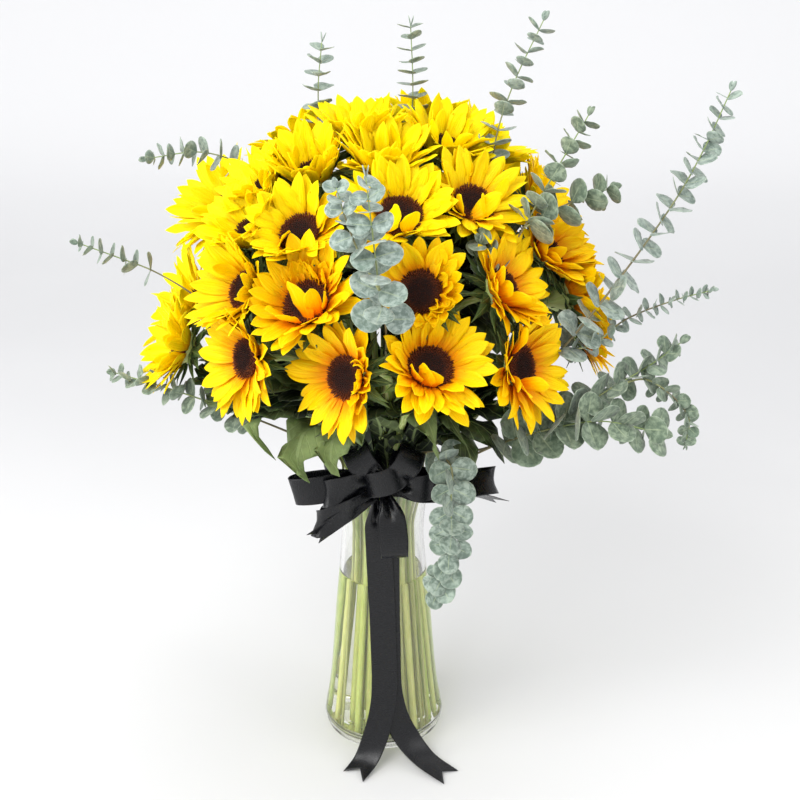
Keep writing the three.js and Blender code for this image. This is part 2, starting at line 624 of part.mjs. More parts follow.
// All petals of a bloom as one star: two layers in turn, joined in a thin cup under the disc
function petalStar(bloom) {
  const petals = bloom.petals;
  const points = [
    bloomPoint(bloom, 0, 0, PETAL_CENTRE_TOP),
    bloomPoint(bloom, 0, 0, PETAL_CENTRE_BOTTOM)];
  const perPetal = 5;
  petals.forEach((petal, i) => {
    const before = petals[(i + petals.length - 1) % petals.length];
    const gapTurn = i ? (before.turn + petal.turn) / 2 : (before.turn + petal.turn - 2 * Math.PI) / 2;
    const valley = bloomPoint(bloom, gapTurn, bloom.discRadius - PETAL_ROOT_INSET, 0);
    points.push(valley, petal.left, petal.tip, petal.right, petal.rib);
  });
  const faces = [];
  petals.forEach((_, i) => {
    const first = 2 + i * perPetal;
    const [valley, left, tip, right, rib] = [0, 1, 2, 3, 4].map((k) => first + k);
    const nextValley = 2 + ((i + 1) % petals.length) * perPetal;
    const rim = [valley, left, tip, right, nextValley];
    for (let k = 0; k + 1 < rim.length; k++) faces.push([rim[k + 1], rim[k], rib]);
    faces.push([valley, 0, rib], [0, nextValley, rib]);
    faces.push([left, tip, right], [valley, left, right]);
    faces.push([valley, right, nextValley], [1, valley, nextValley]);
  });
  return solidFromFaces(points, faces);
}

// Disc: a low dome with florets as relief, on a cone that fills the cup of the petals
function makeDisc(bloom) {
  const seat = Math.max(...bloom.petals.map((petal) => {
    const offset = new THREE.Vector3().subVectors(petal.rib, bloom.centre);
    const height = offset.dot(bloom.normal);
    const radius = Math.sqrt(offset.lengthSq() - height * height);
    return PETAL_CENTRE_TOP + (height - PETAL_CENTRE_TOP) * bloom.discRadius / radius;
  })) + DISC_SEAT;
  const ring = (radius, height, relief) => Array.from({ length: DISC_SIDES }, (_, i) => bloomPoint(
    bloom, 2 * Math.PI * i / DISC_SIDES, radius,
    height + relief * Math.cos(radians(i * GOLDEN_ANGLE))));
  return loft([
    [bloomPoint(bloom, 0, 0, PETAL_CENTRE_TOP + 2 * GAP)],
    ring(bloom.discRadius, seat + DISC_RELIEF / 2, DISC_RELIEF / 2),
    ring(bloom.discRadius * DISC_INNER_SHARE, seat + DISC_EDGE + DISC_RISE, DISC_RELIEF),
    [bloomPoint(bloom, 0, 0, seat + DISC_EDGE + DISC_RISE / 2)]]);
}

// Green parts that everything else keeps clear of
const greenSolids = [];
for (const bloom of blooms) {
  const stem = makeStem(bloom);
  place(stem, bloom);
  place(discSpace(bloom), bloom);
  greenSolids.push(stem);
}

// Eucalyptus stems
for (const spray of sprays) {
  spray.stems = spray.branches.map((branch, i) => {
    const route = i ? branch.route : [...spray.lower, ...branch.route];
    return tube(route, SPRAY_STEM_RADIUS, SPRAY_STEM_SIDES);
  });
  for (const stem of spray.stems) place(stem, spray);
}

// Ribbon strips: a flat band along a route, with its width along a given direction. An end that
// runs into the knot is gathered narrow.
function strip(route, across, gathered) {
  const points = route.map(vector);
  const widths = points.map((_, i) => vector(Array.isArray(across[0]) ? across[i] : across).normalize());
  const rings = points.map((point, i) => {
    const before = points[Math.max(i - 1, 0)];
    const after = points[Math.min(i + 1, points.length - 1)];
    const forward = new THREE.Vector3().subVectors(after, before).normalize();
    const width = widths[i].clone().addScaledVector(forward, -widths[i].dot(forward)).normalize();
    const face = new THREE.Vector3().crossVectors(forward, width);
    const span = gathered.includes(i) ? RIBBON_WIDTH * GATHER : RIBBON_WIDTH;
    return [[-1, -1], [1, -1], [1, 1], [-1, 1]].map(([w, f]) => point.clone()
      .addScaledVector(width, w * span / 2)
      .addScaledVector(face, f * RIBBON_THICKNESS / 2));
  });
  return loft(rings, true);
}

// The wedge that is cut from a strip's end to leave two points
function notchWedge(route, across) {
  const [before, end] = route.slice(-2).map(vector);
  const forward = new THREE.Vector3().subVectors(end, before).normalize();
  const width = vector(Array.isArray(across[0]) ? across.at(-1) : across);
  width.addScaledVector(forward, -width.dot(forward)).normalize();
  const face = new THREE.Vector3().crossVectors(forward, width);
  const corner = (ahead, sideways, out) => end.clone().addScaledVector(forward, ahead)
    .addScaledVector(width, sideways).addScaledVector(face, out);
  const halfBase = RIBBON_WIDTH / 2 - 1;
  return loft([-4, 4].map((out) => [
    corner(-NOTCH_DEPTH, 0, out), corner(2, -halfBase, out), corner(2, halfBase, out)]));
}

function makeBow() {
  const knot = new THREE.SphereGeometry(1, 8, 6);
  knot.scale(...KNOT_HALF_SIZE);
  knot.translate(...KNOT_CENTRE);
  const band = new THREE.LatheGeometry([[BAND_INNER, BAND_BOTTOM], [BAND_OUTER, BAND_BOTTOM],
    [BAND_OUTER, BAND_TOP], [BAND_INNER, BAND_TOP], [BAND_INNER, BAND_BOTTOM]]
    .map(([r, z]) => new THREE.Vector2(r, z)), VASE_SEGMENTS);
  band.rotateX(Math.PI / 2);
  const solids = [solidFromGeometry(knot), solidFromGeometry(band)];
  for (const { route, across, notched } of BOW_STRIPS) {
    const solid = strip(route, across, notched ? [0] : [0, route.length - 1]);
    solids.push(notched ? solid.subtract(notchWedge(route, across)) : solid);
  }
  return oneBody('ribbon_bow', solids);
}

const bow = makeBow();
place(bow, 'ribbon');
addNode('ribbon_bow', bow, BLACK_SATIN);
for (const [name, { route, across }] of Object.entries(TAIL_STRIPS)) {
  const tail = strip(route, across, [0]).subtract(notchWedge(route, across));
  place(tail, 'ribbon');
  addNode(name, tail, BLACK_SATIN);
}

// Vase and water, both turned about the axis
function turned(profile) {
  const geometry = new THREE.LatheGeometry(profile.map(([r, z]) => new THREE.Vector2(r, z)), VASE_SEGMENTS);
  geometry.rotateX(Math.PI / 2);
  return solidFromGeometry(geometry);
}

const vase = turned([[0, 0], ...VASE_OUTER, ...VASE_RIM, ...VASE_INNER, [0, GLASS_FLOOR]]);
place(vase, 'vase');
addNode('vase', vase, GLASS);

function innerRadiusAt(height) {
  const wall = VASE_INNER;
  const k = wall.findIndex(([, z]) => z <= height);
  const [r1, z1] = wall[k - 1];
  const [r2, z2] = wall[k];
  return mix(r1, r2, (z1 - height) / (z1 - z2));
}

// Water: its wall follows the glass, and a straight hole is left for each stem that stands in it
function makeWater() {
  const skin = 2 * GAP;
  const bottom = GLASS_FLOOR + GAP;
  const wall = VASE_INNER.filter(([, z]) => z < WATER_LEVEL && z > GLASS_FLOOR).reverse();
  const profile = [[VASE_INNER.at(-1)[0] - skin, bottom], ...wall.map(([r, z]) => [r - skin, z]),
    [innerRadiusAt(WATER_LEVEL) - skin, WATER_LEVEL]];
  const points = profile.flatMap(([radius, height]) => Array.from({ length: VASE_SEGMENTS }, (_, i) => (
    direction(360 * i / VASE_SEGMENTS, 0).multiplyScalar(radius).setZ(height))));
  const surface = points.length - VASE_SEGMENTS;
  const faces = [];
  for (let k = 0; k < surface; k += VASE_SEGMENTS) {
    for (let i = 0; i < VASE_SEGMENTS; i++) {
      const [a, b] = [k + i, k + (i + 1) % VASE_SEGMENTS];
      faces.push([a, b, a + VASE_SEGMENTS], [b, b + VASE_SEGMENTS, a + VASE_SEGMENTS]);
    }
  }
  const holes = [
    ...blooms.map((bloom) => tubeRings(bloom.stemRoute, STEM_RADIUS + HOLE_MARGIN, STEM_SIDES)),
    ...sprays.map((spray) => tubeRings([...spray.lower, ...spray.branches[0].route],
      SPRAY_STEM_RADIUS + HOLE_MARGIN, SPRAY_STEM_SIDES))];
  const lids = [bottom, WATER_LEVEL].map((height) => holes.map(([foot, waist]) => {
    const start = points.length;
    foot.forEach((corner, i) => {
      const share = (height - corner.z) / (waist[i].z - corner.z);
      points.push(new THREE.Vector3().lerpVectors(corner, waist[i], share).setZ(height));
    });
    return foot.map((_, i) => start + i);
  }));
  holes.forEach((_, h) => {
    const [low, high] = [lids[0][h], lids[1][h]];
    const isLeftHanded = THREE.ShapeUtils.isClockWise(low.map((index) => points[index]));
    low.forEach((a, i) => {
      const next = (i + 1) % low.length;
      const quad = [a, low[next], high[next], high[i]];
      if (!isLeftHanded) quad.reverse();
      faces.push([quad[0], quad[1], quad[2]], [quad[0], quad[2], quad[3]]);
    });
  });
  [0, surface].forEach((start, side) => {
    const rim = Array.from({ length: VASE_SEGMENTS }, (_, i) => start + i);
    const indices = [...rim, ...lids[side].flat()];
    const flat = (list) => list.map((index) => new THREE.Vector2(points[index].x, points[index].y));
    for (const triangle of THREE.ShapeUtils.triangulateShape(flat(rim), lids[side].map(flat))) {
      const corners = triangle.map((index) => indices[index]);
      const facesUp = !THREE.ShapeUtils.isClockWise(flat(corners));
      faces.push(facesUp === (side === 1) ? corners : corners.reverse());
    }
  });
  return solidFromFaces(points, faces);
}

addNode('water', makeWater(), WATER);

// Petals, group by group: after the first, each bloom is linked to one before it by a petal
blooms.forEach((bloom, index) => {
  const pitch = 2 * Math.PI / PETALS;
  const start = random() * pitch;
  for (let i = 0; i < PETALS; i++) {
    const layer = i % 2 ? LAYER_LIFT : -LAYER_LIFT;
    const lift = bloom.cup + layer + jitter(4);
    const length = bloom.petalLength * (i % 2 ? 0.9 : 1) * (1 + jitter(0.06));
    const turn = start + i * pitch + jitter(0.05);
    bloom.petals.push({ ...choosePetal(bloom, turn, lift, length, [bloom]), turn });
  }
  for (const petal of bloom.petals) place(petalBlade(petal), bloom);
  const group = blooms.slice(0, index).filter((other) => other.group === bloom.group);
  group.sort((a, b) => a.centre.distanceTo(bloom.centre) - b.centre.distanceTo(bloom.centre));
  if (group.length) linkBlooms(bloom, group.slice(0, 3));
});
for (const bloom of blooms) bloom.star = petalStar(bloom);
for (const bloom of blooms) bloom.disc = makeDisc(bloom);
for (const group of Object.keys(BLOOMS)) {
  const stars = blooms.filter((bloom) => bloom.group === group).map((bloom) => bloom.star);
  addNode(`petals_${group}`, oneBody(`petals_${group}`, stars), YELLOW);
}
blooms.forEach((bloom, index) => {
  place(bloom.disc, bloom);
  addNode(`disc_${String(index + 1).padStart(2, '0')}`, bloom.disc, BROWN);
});

// Eucalyptus leaves: opposite round pairs folded towards the tip, each pair turned from the last
function roundLeaf(centre, along, out, radius, extra = 0) {
  const size = radius + extra;
  const side = new THREE.Vector3().crossVectors(along, out).normalize();
  const point = (ahead, sideways) => centre.clone().addScaledVector(out, ahead * size)
    .addScaledVector(side, sideways * size);
  const square = new THREE.Vector3().crossVectors(out, side).normalize();
  const rim = ROUND_LEAF_RIM.map(([ahead, sideways]) => point(ahead, sideways));
  for (const corner of rim) corner.addScaledVector(square, -extra);
  return tent(rim, point(1, 0).addScaledVector(square, ROUND_LEAF_RIB + extra));
}

// A leaf is turned round its stem or made smaller until it is clear
function clearLeaf(spray, centre, along, across, turn, size) {
  const fold = radians(ROUND_LEAF_FOLD);
  for (const [spin, scale] of ROUND_LEAF_TRIES) {
    const out = across.clone().applyAxisAngle(along, radians(turn + spin)).multiplyScalar(Math.cos(fold))
      .addScaledVector(along, Math.sin(fold));
    const start = centre.clone().addScaledVector(out, -ROUND_LEAF_ROOT);
    const test = roundLeaf(start, along, out, size * scale, CLEARANCE);
    if (!meetsPlaced(test, [spray])) return roundLeaf(start, along, out, size * scale);
  }
  return null;
}

function leafSolids(spray, branch) {
  const curve = new THREE.CatmullRomCurve3(branch.route.slice(branch.bare));
  const [rootSize, tipSize] = branch.leaf;
  const length = curve.getLength();
  const solids = [];
  let run = rootSize;
  let turn = random() * 90;
  while (run < length) {
    const share = run / length;
    const size = mix(rootSize, tipSize, share);
    const centre = curve.getPointAt(share);
    const along = curve.getTangentAt(share);
    const across = new THREE.Vector3(0, 0, 1).cross(along);
    if (across.length() < 0.2) across.set(1, 0, 0);
    across.addScaledVector(along, -across.dot(along)).normalize();
    for (const way of [0, 180]) {
      const leaf = clearLeaf(spray, centre, along, across, turn + way, size);
      if (leaf) solids.push(leaf);
    }
    turn += 90 + jitter(ROUND_LEAF_JITTER);
    run += size * ROUND_LEAF_SPACING;
  }
  return solids;
}

for (const spray of sprays) {
  const leaves = spray.branches.flatMap((branch) => leafSolids(spray, branch));
  const solid = oneBody(`eucalyptus_${spray.name}`, [...spray.stems, ...leaves]);
  place(solid, spray);
  addNode(`eucalyptus_${spray.name}`, solid, FROSTED_GREEN);
}

// Large leaves: a keeled blade along a route of four points, widest at the second and third
function leafBlade(route, halfWidth, extra = 0) {
  const curve = new THREE.CatmullRomCurve3(route);
  const ring = (share, width) => {
    const centre = curve.getPoint(share);
    const along = curve.getTangent(share);
    const side = new THREE.Vector3(0, 0, 1).cross(along).normalize();
    const face = new THREE.Vector3().crossVectors(along, side);
    const rib = LEAF_RIB + extra;
    const low = centre.clone().addScaledVector(face, -LEAF_SAG * width);
    return [
      low.clone().addScaledVector(side, -width - extra),
      centre.clone().addScaledVector(face, -rib),
      low.clone().addScaledVector(side, width + extra),
      centre.clone().addScaledVector(face, rib)];
  };
  const end = route[3].clone().addScaledVector(curve.getTangent(1), extra);
  const widths = halfWidth > SMALL_LEAF ? [[1 / 3, 0.6], [0.7, 1]] : [[1 / 3, 1]];
  return loft([[route[0]], ...widths.map(([share, width]) => ring(share, halfWidth * width)), [end]], true);
}

const leafBlades = [];

// A leaf that crosses nothing but the stems it belongs to is added
function addLeafIfClear(route, halfWidth, stems) {
  for (const width of [1, 0.7, 0.45]) {
    const isClear = !meetsPlaced(leafBlade(route, halfWidth * width, CLEARANCE), stems);
    const blade = leafBlade(route, halfWidth * width);
    if (isClear && !stems.some((bloom) => meetsBloom(blade, bloom))) {
      leafBlades.push(blade);
      place(blade, 'leaf');
      return true;
    }
  }
  return false;
}

// A leaf may pass through the stem it grows on, but not through that bloom's petals or disc
function meetsBloom(blade, bloom) {
  const box = blade.boundingBox();
  return [bloom.star, bloom.disc].some((solid) => boxesMeet(box, solid.boundingBox())
    && !blade.intersect(solid).isEmpty());
}

// Where a stem's line is at a height above the rim
function stemAt(bloom, height) {
  const [, , rim, neck] = bloom.stemRoute;
  const share = Math.min(Math.max((height - rim.z) / (neck.z - rim.z), 0), 1);
  return new THREE.Vector3().lerpVectors(rim, neck, share);
}

// Each stem after the first is joined to a stem that is already joined, by a leaf through both
function linkStems() {
  const joined = [blooms[0]];
  const waiting = blooms.slice(1);
  while (waiting.length) {
    const pairs = [];
    for (const bloom of waiting) {
      for (const other of joined) {
        const near = stemAt(bloom, STEM_NEARNESS_HEIGHT).distanceTo(stemAt(other, STEM_NEARNESS_HEIGHT));
        pairs.push({ bloom, other, near });
      }
    }
    pairs.sort((a, b) => a.near - b.near);
    const found = pairs.find(({ bloom, other }) => linkLeaf(bloom, other));
    if (!found) throw new Error(`no leaf joins ${waiting.length} stems`);
    joined.push(found.bloom);
    waiting.splice(waiting.indexOf(found.bloom), 1);
  }
}

function linkLeaf(a, b) {
  for (let height = LEAF_LOWEST; height <= LEAF_HIGHEST; height += LEAF_STEP) {
    const [first, second] = [stemAt(a, height), stemAt(b, height + LEAF_RISE)];
    const isFirstInner = first.setZ(0).length() < second.setZ(0).length();
    const [inner, outer] = isFirstInner ? [first, second] : [second, first];
    inner.setZ(height);
    outer.setZ(height + LEAF_RISE);
    const onward = new THREE.Vector3().subVectors(outer, inner).setZ(0);
    const radial = outer.clone().setZ(0).normalize();
    const way = onward.normalize().multiplyScalar(0.5).add(radial).normalize();
    for (const length of [LEAF_LENGTH, LEAF_LENGTH * 0.7, LEAF_LENGTH * 0.45, LEAF_LENGTH * 0.25]) {
      const shoulder = outer.clone().addScaledVector(way, length * 0.5).setZ(height + 2.5 * LEAF_RISE);
      const tip = outer.clone().addScaledVector(way, length).setZ(height - LEAF_RISE / 2);
      const halfWidth = length * LEAF_HALF_WIDTH / LEAF_LENGTH;
      if (addLeafIfClear([inner, outer, shoulder, tip], halfWidth, [a, b])) return true;
    }
  }
  return false;
}

linkStems();
for (const [root, shoulder, bend, tip, halfWidth] of FRONT_LEAVES) {
  const start = vector(root);
  const nearness = (bloom) => stemAt(bloom, start.z).distanceTo(start);
  const [stem] = [...blooms].sort((a, b) => nearness(a) - nearness(b));
  addLeafIfClear([stemAt(stem, start.z), ...[shoulder, bend, tip].map(vector)], halfWidth, [stem]);
}
addNode('sunflower_stems', oneBody('sunflower_stems', [...greenSolids, ...leafBlades]), GREEN);

export default bouquet;
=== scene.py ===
"""Cut sunflowers and eucalyptus in a clear glass vase with a black satin bow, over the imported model."""

import bpy
import numpy as np
from mathutils import Euler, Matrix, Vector


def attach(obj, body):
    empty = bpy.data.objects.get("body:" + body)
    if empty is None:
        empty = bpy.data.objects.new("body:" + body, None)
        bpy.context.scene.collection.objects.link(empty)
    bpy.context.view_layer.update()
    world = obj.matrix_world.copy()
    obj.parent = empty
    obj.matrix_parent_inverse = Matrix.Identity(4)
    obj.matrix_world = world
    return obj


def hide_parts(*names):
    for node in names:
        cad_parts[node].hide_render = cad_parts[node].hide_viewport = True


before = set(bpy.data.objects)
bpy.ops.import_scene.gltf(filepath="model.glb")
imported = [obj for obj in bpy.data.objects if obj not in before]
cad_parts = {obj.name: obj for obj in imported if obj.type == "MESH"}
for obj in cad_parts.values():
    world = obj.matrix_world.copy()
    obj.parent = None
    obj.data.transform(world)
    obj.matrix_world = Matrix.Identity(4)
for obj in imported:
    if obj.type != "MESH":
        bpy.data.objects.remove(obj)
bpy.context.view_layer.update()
rng = np.random.default_rng(11)
UP = np.array([0.0, 0.0, 1.0])
FULL_TURN = 6.2832
GOLDEN_ANGLE = 137.508
GOLDEN_SHARE = 0.618034

# Sizes of the arrangement, in millimetres and degrees, as in the part's source
DOME_CENTRE_HEIGHT = 415
DOME_RADIUS = 185
DOME_RISE = 200
FOOT_HEIGHT = 9.2
WAIST_HEIGHT = 232
RIM_HEIGHT = 298
FAN_ANGLE = 41
BUNDLE_RADIUS = 26
BUNDLE_LIMIT = 29.4
FOOT_SPREAD = 1.6
RIM_SPREAD = 1.36
STEM_RADIUS = 3.2
STEM_SPACING = 6.9
SPRAY_STEM_RADIUS = 1.6
SPRAY_SPACING = 6.5
SETTLE_PASSES = 400
NECK_LENGTH = 30
CALYX_DEPTH = -20
RING_PROFILE = [[46.5, 9.2], [32.7, 228], [33.4, 245], [44, 291], [47, 311]]

# Vase: rows of radius and height
VASE_OUTER = [[50, 0], [57.5, 2.5], [61, 12], [54.6, 52], [47, 141], [42.4, 190], [40.2, 226],
              [43.4, 260], [52.5, 289]]
VASE_RIM = [[52.2, 291.4], [50.5, 292]]
VASE_INNER = [[48.6, 289.5], [39.6, 261], [36.2, 227], [38.4, 190], [43, 141], [50.6, 52],
              [55.5, 14], [50.5, 8]]
GLASS_FLOOR = 8
FLOOR_RADIUS = 30
UNDERSIDE_RISE = 0.4
WATER_LEVEL = 180
WATER_OVERLAP = 0.3
VASE_SEGMENTS = 96

# Blooms: dome azimuth and elevation, facing azimuth and elevation, disc radius, petal length, cup
BLOOMS = {
    "front_low": [[-8, 12, -40, 15, 16.5, 30, 28], [13, 14, 20, 45, 17.7, 31, 28],
                  [39, 10, 55, 15, 17, 31, 26], [-36, 13, -55, 15, 16, 31, 28]],
    "front_middle": [[-20, 28, -30, 45, 19, 31, 28], [12, 31, -15, 25, 17, 27, 26],
                     [38, 29, 60, 30, 16, 29, 32], [-41, 28, -50, 25, 16, 29, 34]],
    "left": [[-72, 6, -90, 15, 16, 31, 30], [-49, 42, -60, 45, 16, 30, 30], [-60, 53, -60, 50, 16, 28, 30],
             [-101, 8, -108, 14, 17, 31, 26], [-103, 37, -104, 38, 17, 32, 26],
             [-131, 8, -130, 16, 17, 31, 26]],
    "right": [[72, 20, 96, 20, 16, 29, 30], [83, 7, 90, 10, 16, 28, 30], [66, 33, 65, 40, 16, 29, 30],
              [95, 40, 80, 40, 16, 31, 28], [111, 8, 112, 16, 17, 31, 26]],
    "top": [[-28, 44, -30, 45, 17, 31, 30], [8, 50, 5, 50, 18, 32, 28], [41, 51, 30, 50, 17, 31, 30],
            [-39, 62, -35, 70, 16, 31, 28], [3, 67, 0, 75, 17, 31, 28], [-26, 80, -10, 85, 17, 31, 28],
            [65, 71, 40, 70, 17, 31, 28], [105, 60, 88, 60, 16, 31, 28], [140, 71, 150, 72, 17, 31, 28]],
    "back": [[140, 8, 142, 16, 17, 32, 26], [169, 8, 168, 15, 18, 32, 26], [-161, 8, -162, 16, 17, 32, 26],
             [137, 37, 138, 38, 18, 33, 26], [177, 37, 176, 38, 18, 33, 26],
             [-143, 37, -142, 36, 18, 33, 26], [-125, 62, -126, 60, 17, 32, 28]],
}

# Looks by bloom, in degrees and millimetres: cup, side towards which petals rise and by how much, side
# of short curled petals and how far they reach from it, how golden it is and how far its orange petal
# roots, partly painted shade, reach, where it faces, how long its petals are for their row, how many
# petals its inner whorl has, and petals that stand before the disc as rows of turn, turn from which
# they lean over it, lift, length and half width
LOOKS = {
    1: dict(cup=24, lean=(0, 8), curled=(5, 52), gold=1.1, inner=0),
    2: dict(cup=41, lean=(120, 5), gold=0.9, inner=0, folds=[
        (232, 214, 92, 34, 8.6), (254, 240, 88, 33, 8.2), (208, 208, 78, 31, 7.6), (284, 284, 60, 32, 7)]),
    3: dict(cup=33, lean=(0, 4), gold=1.15, inner=0, folds=[
        (228, 200, 90, 34, 7.2), (202, 202, 60, 31, 6.6)]),
    4: dict(cup=32, lean=(180, 7), gold=0.85, inner=0),
    5: dict(cup=30, lean=(90, 12), curled=(95, 56), gold=0.95, inner=0, folds=[
        (303, 284, 120, 38, 8.2), (330, 304, 100, 33, 7), (356, 356, 66, 30, 6), (252, 252, 78, 31, 7),
        (276, 276, 72, 30, 7), (118, 118, 46, 41, 8), (98, 98, 49, 43, 8.4), (66, 66, 50, 42, 8),
        (44, 44, 46, 41, 7.4)]),
    6: dict(cup=28, lean=(90, 6), curled=(-60, 100), gold=0.9, inner=4),
    7: dict(cup=37, lean=(0, 4), gold=1.1, inner=0, folds=[
        (180, 180, 68, 31, 6.8), (206, 206, 76, 32, 7), (234, 222, 82, 33, 7.2), (152, 152, 60, 31, 6.8),
        (262, 250, 72, 30, 7)]),
    8: dict(cup=38, lean=(180, 10), gold=0.55, inner=2, reach=1.15),
    9: dict(cup=47, faces=(-74, 24), gold=0.3),
    10: dict(cup=50, faces=(-50, 50), gold=0.1),
    11: dict(cup=46, gold=0.15),
    12: dict(cup=38, faces=(-76, 32), lean=(130, 8), gold=0.15, reach=1.22),
    13: dict(cup=44, faces=(-70, 40), lean=(200, 10), gold=0.1, reach=1.16),
    14: dict(cup=36, gold=0.3),
    15: dict(cup=42, gold=1.4),
    16: dict(cup=44, gold=1.4),
    17: dict(cup=50, gold=1.2),
    18: dict(cup=44, gold=0.7),
    20: dict(cup=31, lean=(90, 10), gold=0.45, inner=2, folds=[
        (218, 166, 128, 37, 8), (262, 262, 58, 32, 7)]),
    21: dict(cup=33, lean=(90, 8), gold=0.3, inner=2, folds=[
        (228, 192, 112, 32, 8), (284, 276, 88, 32, 7.6)]),
    22: dict(cup=40, lean=(60, 8), gold=0.5, inner=2, folds=[
        (226, 176, 126, 34, 7.6), (300, 350, 122, 33, 7.2), (262, 262, 60, 30, 7)]),
    23: dict(cup=60),
    24: dict(cup=58),
    25: dict(cup=56),
    26: dict(cup=56),
    27: dict(cup=56),
    28: dict(cup=52),
}

# Eucalyptus sprays: ring azimuth or None, tone from blue-grey to green, how far its leaves face
# outwards and up rather than along the twig, the turn of its first pair, the spacing of its pairs in
# leaf radii, how far its leaves fold towards its tip, and branches of route, points before the first
# leaf, and leaf radius at the root and at the tip
SPRAYS = {
    "left_high": (None, 0.45, 0.25, 60, 1.2, 12, [
        ([[-76, 4, 524], [-109, 0, 575], [-151, 0, 593], [-202, 0, 588]], 1, 11, 6)]),
    "left_middle": (None, 0.5, 0.3, 60, 1.25, 10, [
        ([[-120, -22, 420], [-159, -30, 469], [-197, -30, 495], [-228, -25, 506], [-264, -20, 518]],
         2, 10, 6)]),
    "left_low": (-54, 0.75, 0.55, 60, 1.0, 14, [
        ([[-64, -46, 338], [-110, -66, 370], [-152, -72, 390], [-193, -68, 403], [-233, -60, 412]],
         1, 12, 6)]),
    "top_left": (None, 0.35, 0.1, 45, 1.25, 8, [
        ([[-42, 8, 560], [-52, 10, 612], [-53, 10, 645], [-49, 10, 684]], 1, 11, 7)]),
    "top": (None, 0.55, 0.05, 40, 1.15, 8, [
        ([[24, 6, 560], [27, 8, 612], [28, 14, 650], [26, 20, 696]], 1, 10, 7)]),
    "top_right": (None, 0.3, 0.0, 45, 1.3, 8, [
        ([[82, -26, 540], [94, -30, 590], [99, -30, 620], [113, -15, 657], [136, 0, 703]], 1, 10, 7)]),
    "right_high": (None, 0.8, 0.1, 30, 1.15, 12, [
        ([[96, -88, 510], [116, -106, 556], [135, -90, 586], [169, -60, 636]], 1, 12, 7),
        ([[116, -106, 556], [155, -80, 569], [190, -60, 576]], 0, 14, 9),
        ([[96, -88, 510], [88, -114, 532], [80, -128, 550]], 0, 10, 8)]),
    "right_long": (None, 0.25, 0.55, 20, 1.15, 10, [
        ([[112, -74, 398], [150, -102, 448], [180, -98, 486], [224, -74, 539], [250, -62, 577],
          [268, -52, 610], [287, -40, 652]], 1, 14, 7),
        ([[150, -102, 448], [178, -96, 452], [206, -85, 470], [248, -80, 486], [280, -75, 493]], 0, 8, 4)]),
    "right_low": (60, 0.7, 0.75, 20, 0.85, 14, [
        ([[92, -60, 338], [135, -95, 376], [165, -110, 398], [194, -106, 416], [227, -100, 435],
          [252, -95, 453]], 1, 15, 8),
        ([[194, -106, 416], [222, -104, 424], [246, -105, 410], [262, -110, 390], [260, -115, 370]],
         1, 8, 5)]),
    "right_front": (49.5, 0.8, 0.75, 10, 0.76, 14, [
        ([[66, -66, 328], [103, -100, 362], [139, -120, 384], [183, -130, 397], [231, -125, 385]],
         1, 16, 12)]),
    "front": (None, 0.1, 0.55, 5, 1.1, 6, [
        ([[5, -128, 440], [6, -164, 480], [6, -190, 504], [2, -206, 536], [-3, -212, 584],
          [-7, -212, 621]], 2, 14, 7),
        ([[2, -206, 536], [-12, -203, 562], [-22, -205, 590], [-28, -205, 612]], 1, 10, 6)]),
    "hanging": (26, 0.35, 0.75, 20, 0.8, 22, [
        ([[33, -64, 334], [50, -94, 350], [61, -114, 346], [61, -122, 318], [61, -122, 273],
          [50, -117, 221]], 1, 12, 10)]),
    "back": (155, 0.5, 0.3, 30, 1.2, 14, [
        ([[14, 88, 345], [34, 148, 378], [62, 205, 402], [92, 252, 418]], 1, 13, 7),
        ([[34, 148, 378], [4, 196, 396], [-28, 236, 414]], 0, 12, 8)]),
}

# Large leaves over the bow and at its sides: root, shoulder, bend, tip, half width, lightness, which is
# painted light and shade for where each leaf lies, and ruffle
FRONT_LEAVES = [
    ([-50, -42, 352], [-88, -84, 388], [-112, -98, 380], [-90, -108, 350], 10, 1.8, 0.3),
    ([-38, -68, 370], [-58, -104, 380], [-70, -130, 364], [-60, -127, 338], 23, 1.4, 0.5),
    ([-22, -70, 368], [-34, -106, 380], [-42, -130, 366], [-34, -131, 346], 20, 1.7, 0.5),
    ([40, -44, 350], [74, -76, 372], [96, -92, 368], [108, -98, 342], 20, -0.3, 0.2),
    ([54, -36, 356], [96, -62, 382], [124, -80, 382], [142, -88, 362], 20, -0.2, 0.2),
    ([48, -50, 346], [70, -84, 360], [78, -100, 350], [80, -104, 334], 14, 0.2, 0.2),
    ([-4, -60, 376], [-14, -108, 398], [-32, -128, 396], [-54, -134, 384], 12, -0.2, 0.2),
    ([22, -60, 368], [34, -106, 396], [44, -122, 384], [50, -120, 356], 14, 1.3, 0.3),
    ([40, -46, 362], [58, -84, 380], [66, -100, 374], [74, -104, 362], 8, 0.6, 0.3),
    ([4, -60, 380], [8, -104, 404], [10, -126, 410], [14, -140, 404], 13, -0.3, 0.2),
    ([6, -50, 312], [5, -60, 334], [4, -76, 360], [2, -96, 390], 26, -0.9, 0.3),
    ([20, -48, 326], [26, -66, 348], [34, -90, 374], [44, -108, 398], 24, -0.7, 0.3),
    ([-20, -48, 326], [-26, -66, 348], [-30, -90, 374], [-34, -108, 398], 24, -0.7, 0.3),
    ([-66, -20, 372], [-112, -24, 398], [-146, -26, 394], [-166, -30, 378], 24, 0.2, 0.22),
    ([62, -12, 372], [112, -10, 402], [146, -4, 394], [164, 2, 374], 24, 0.2, 0.22),
]

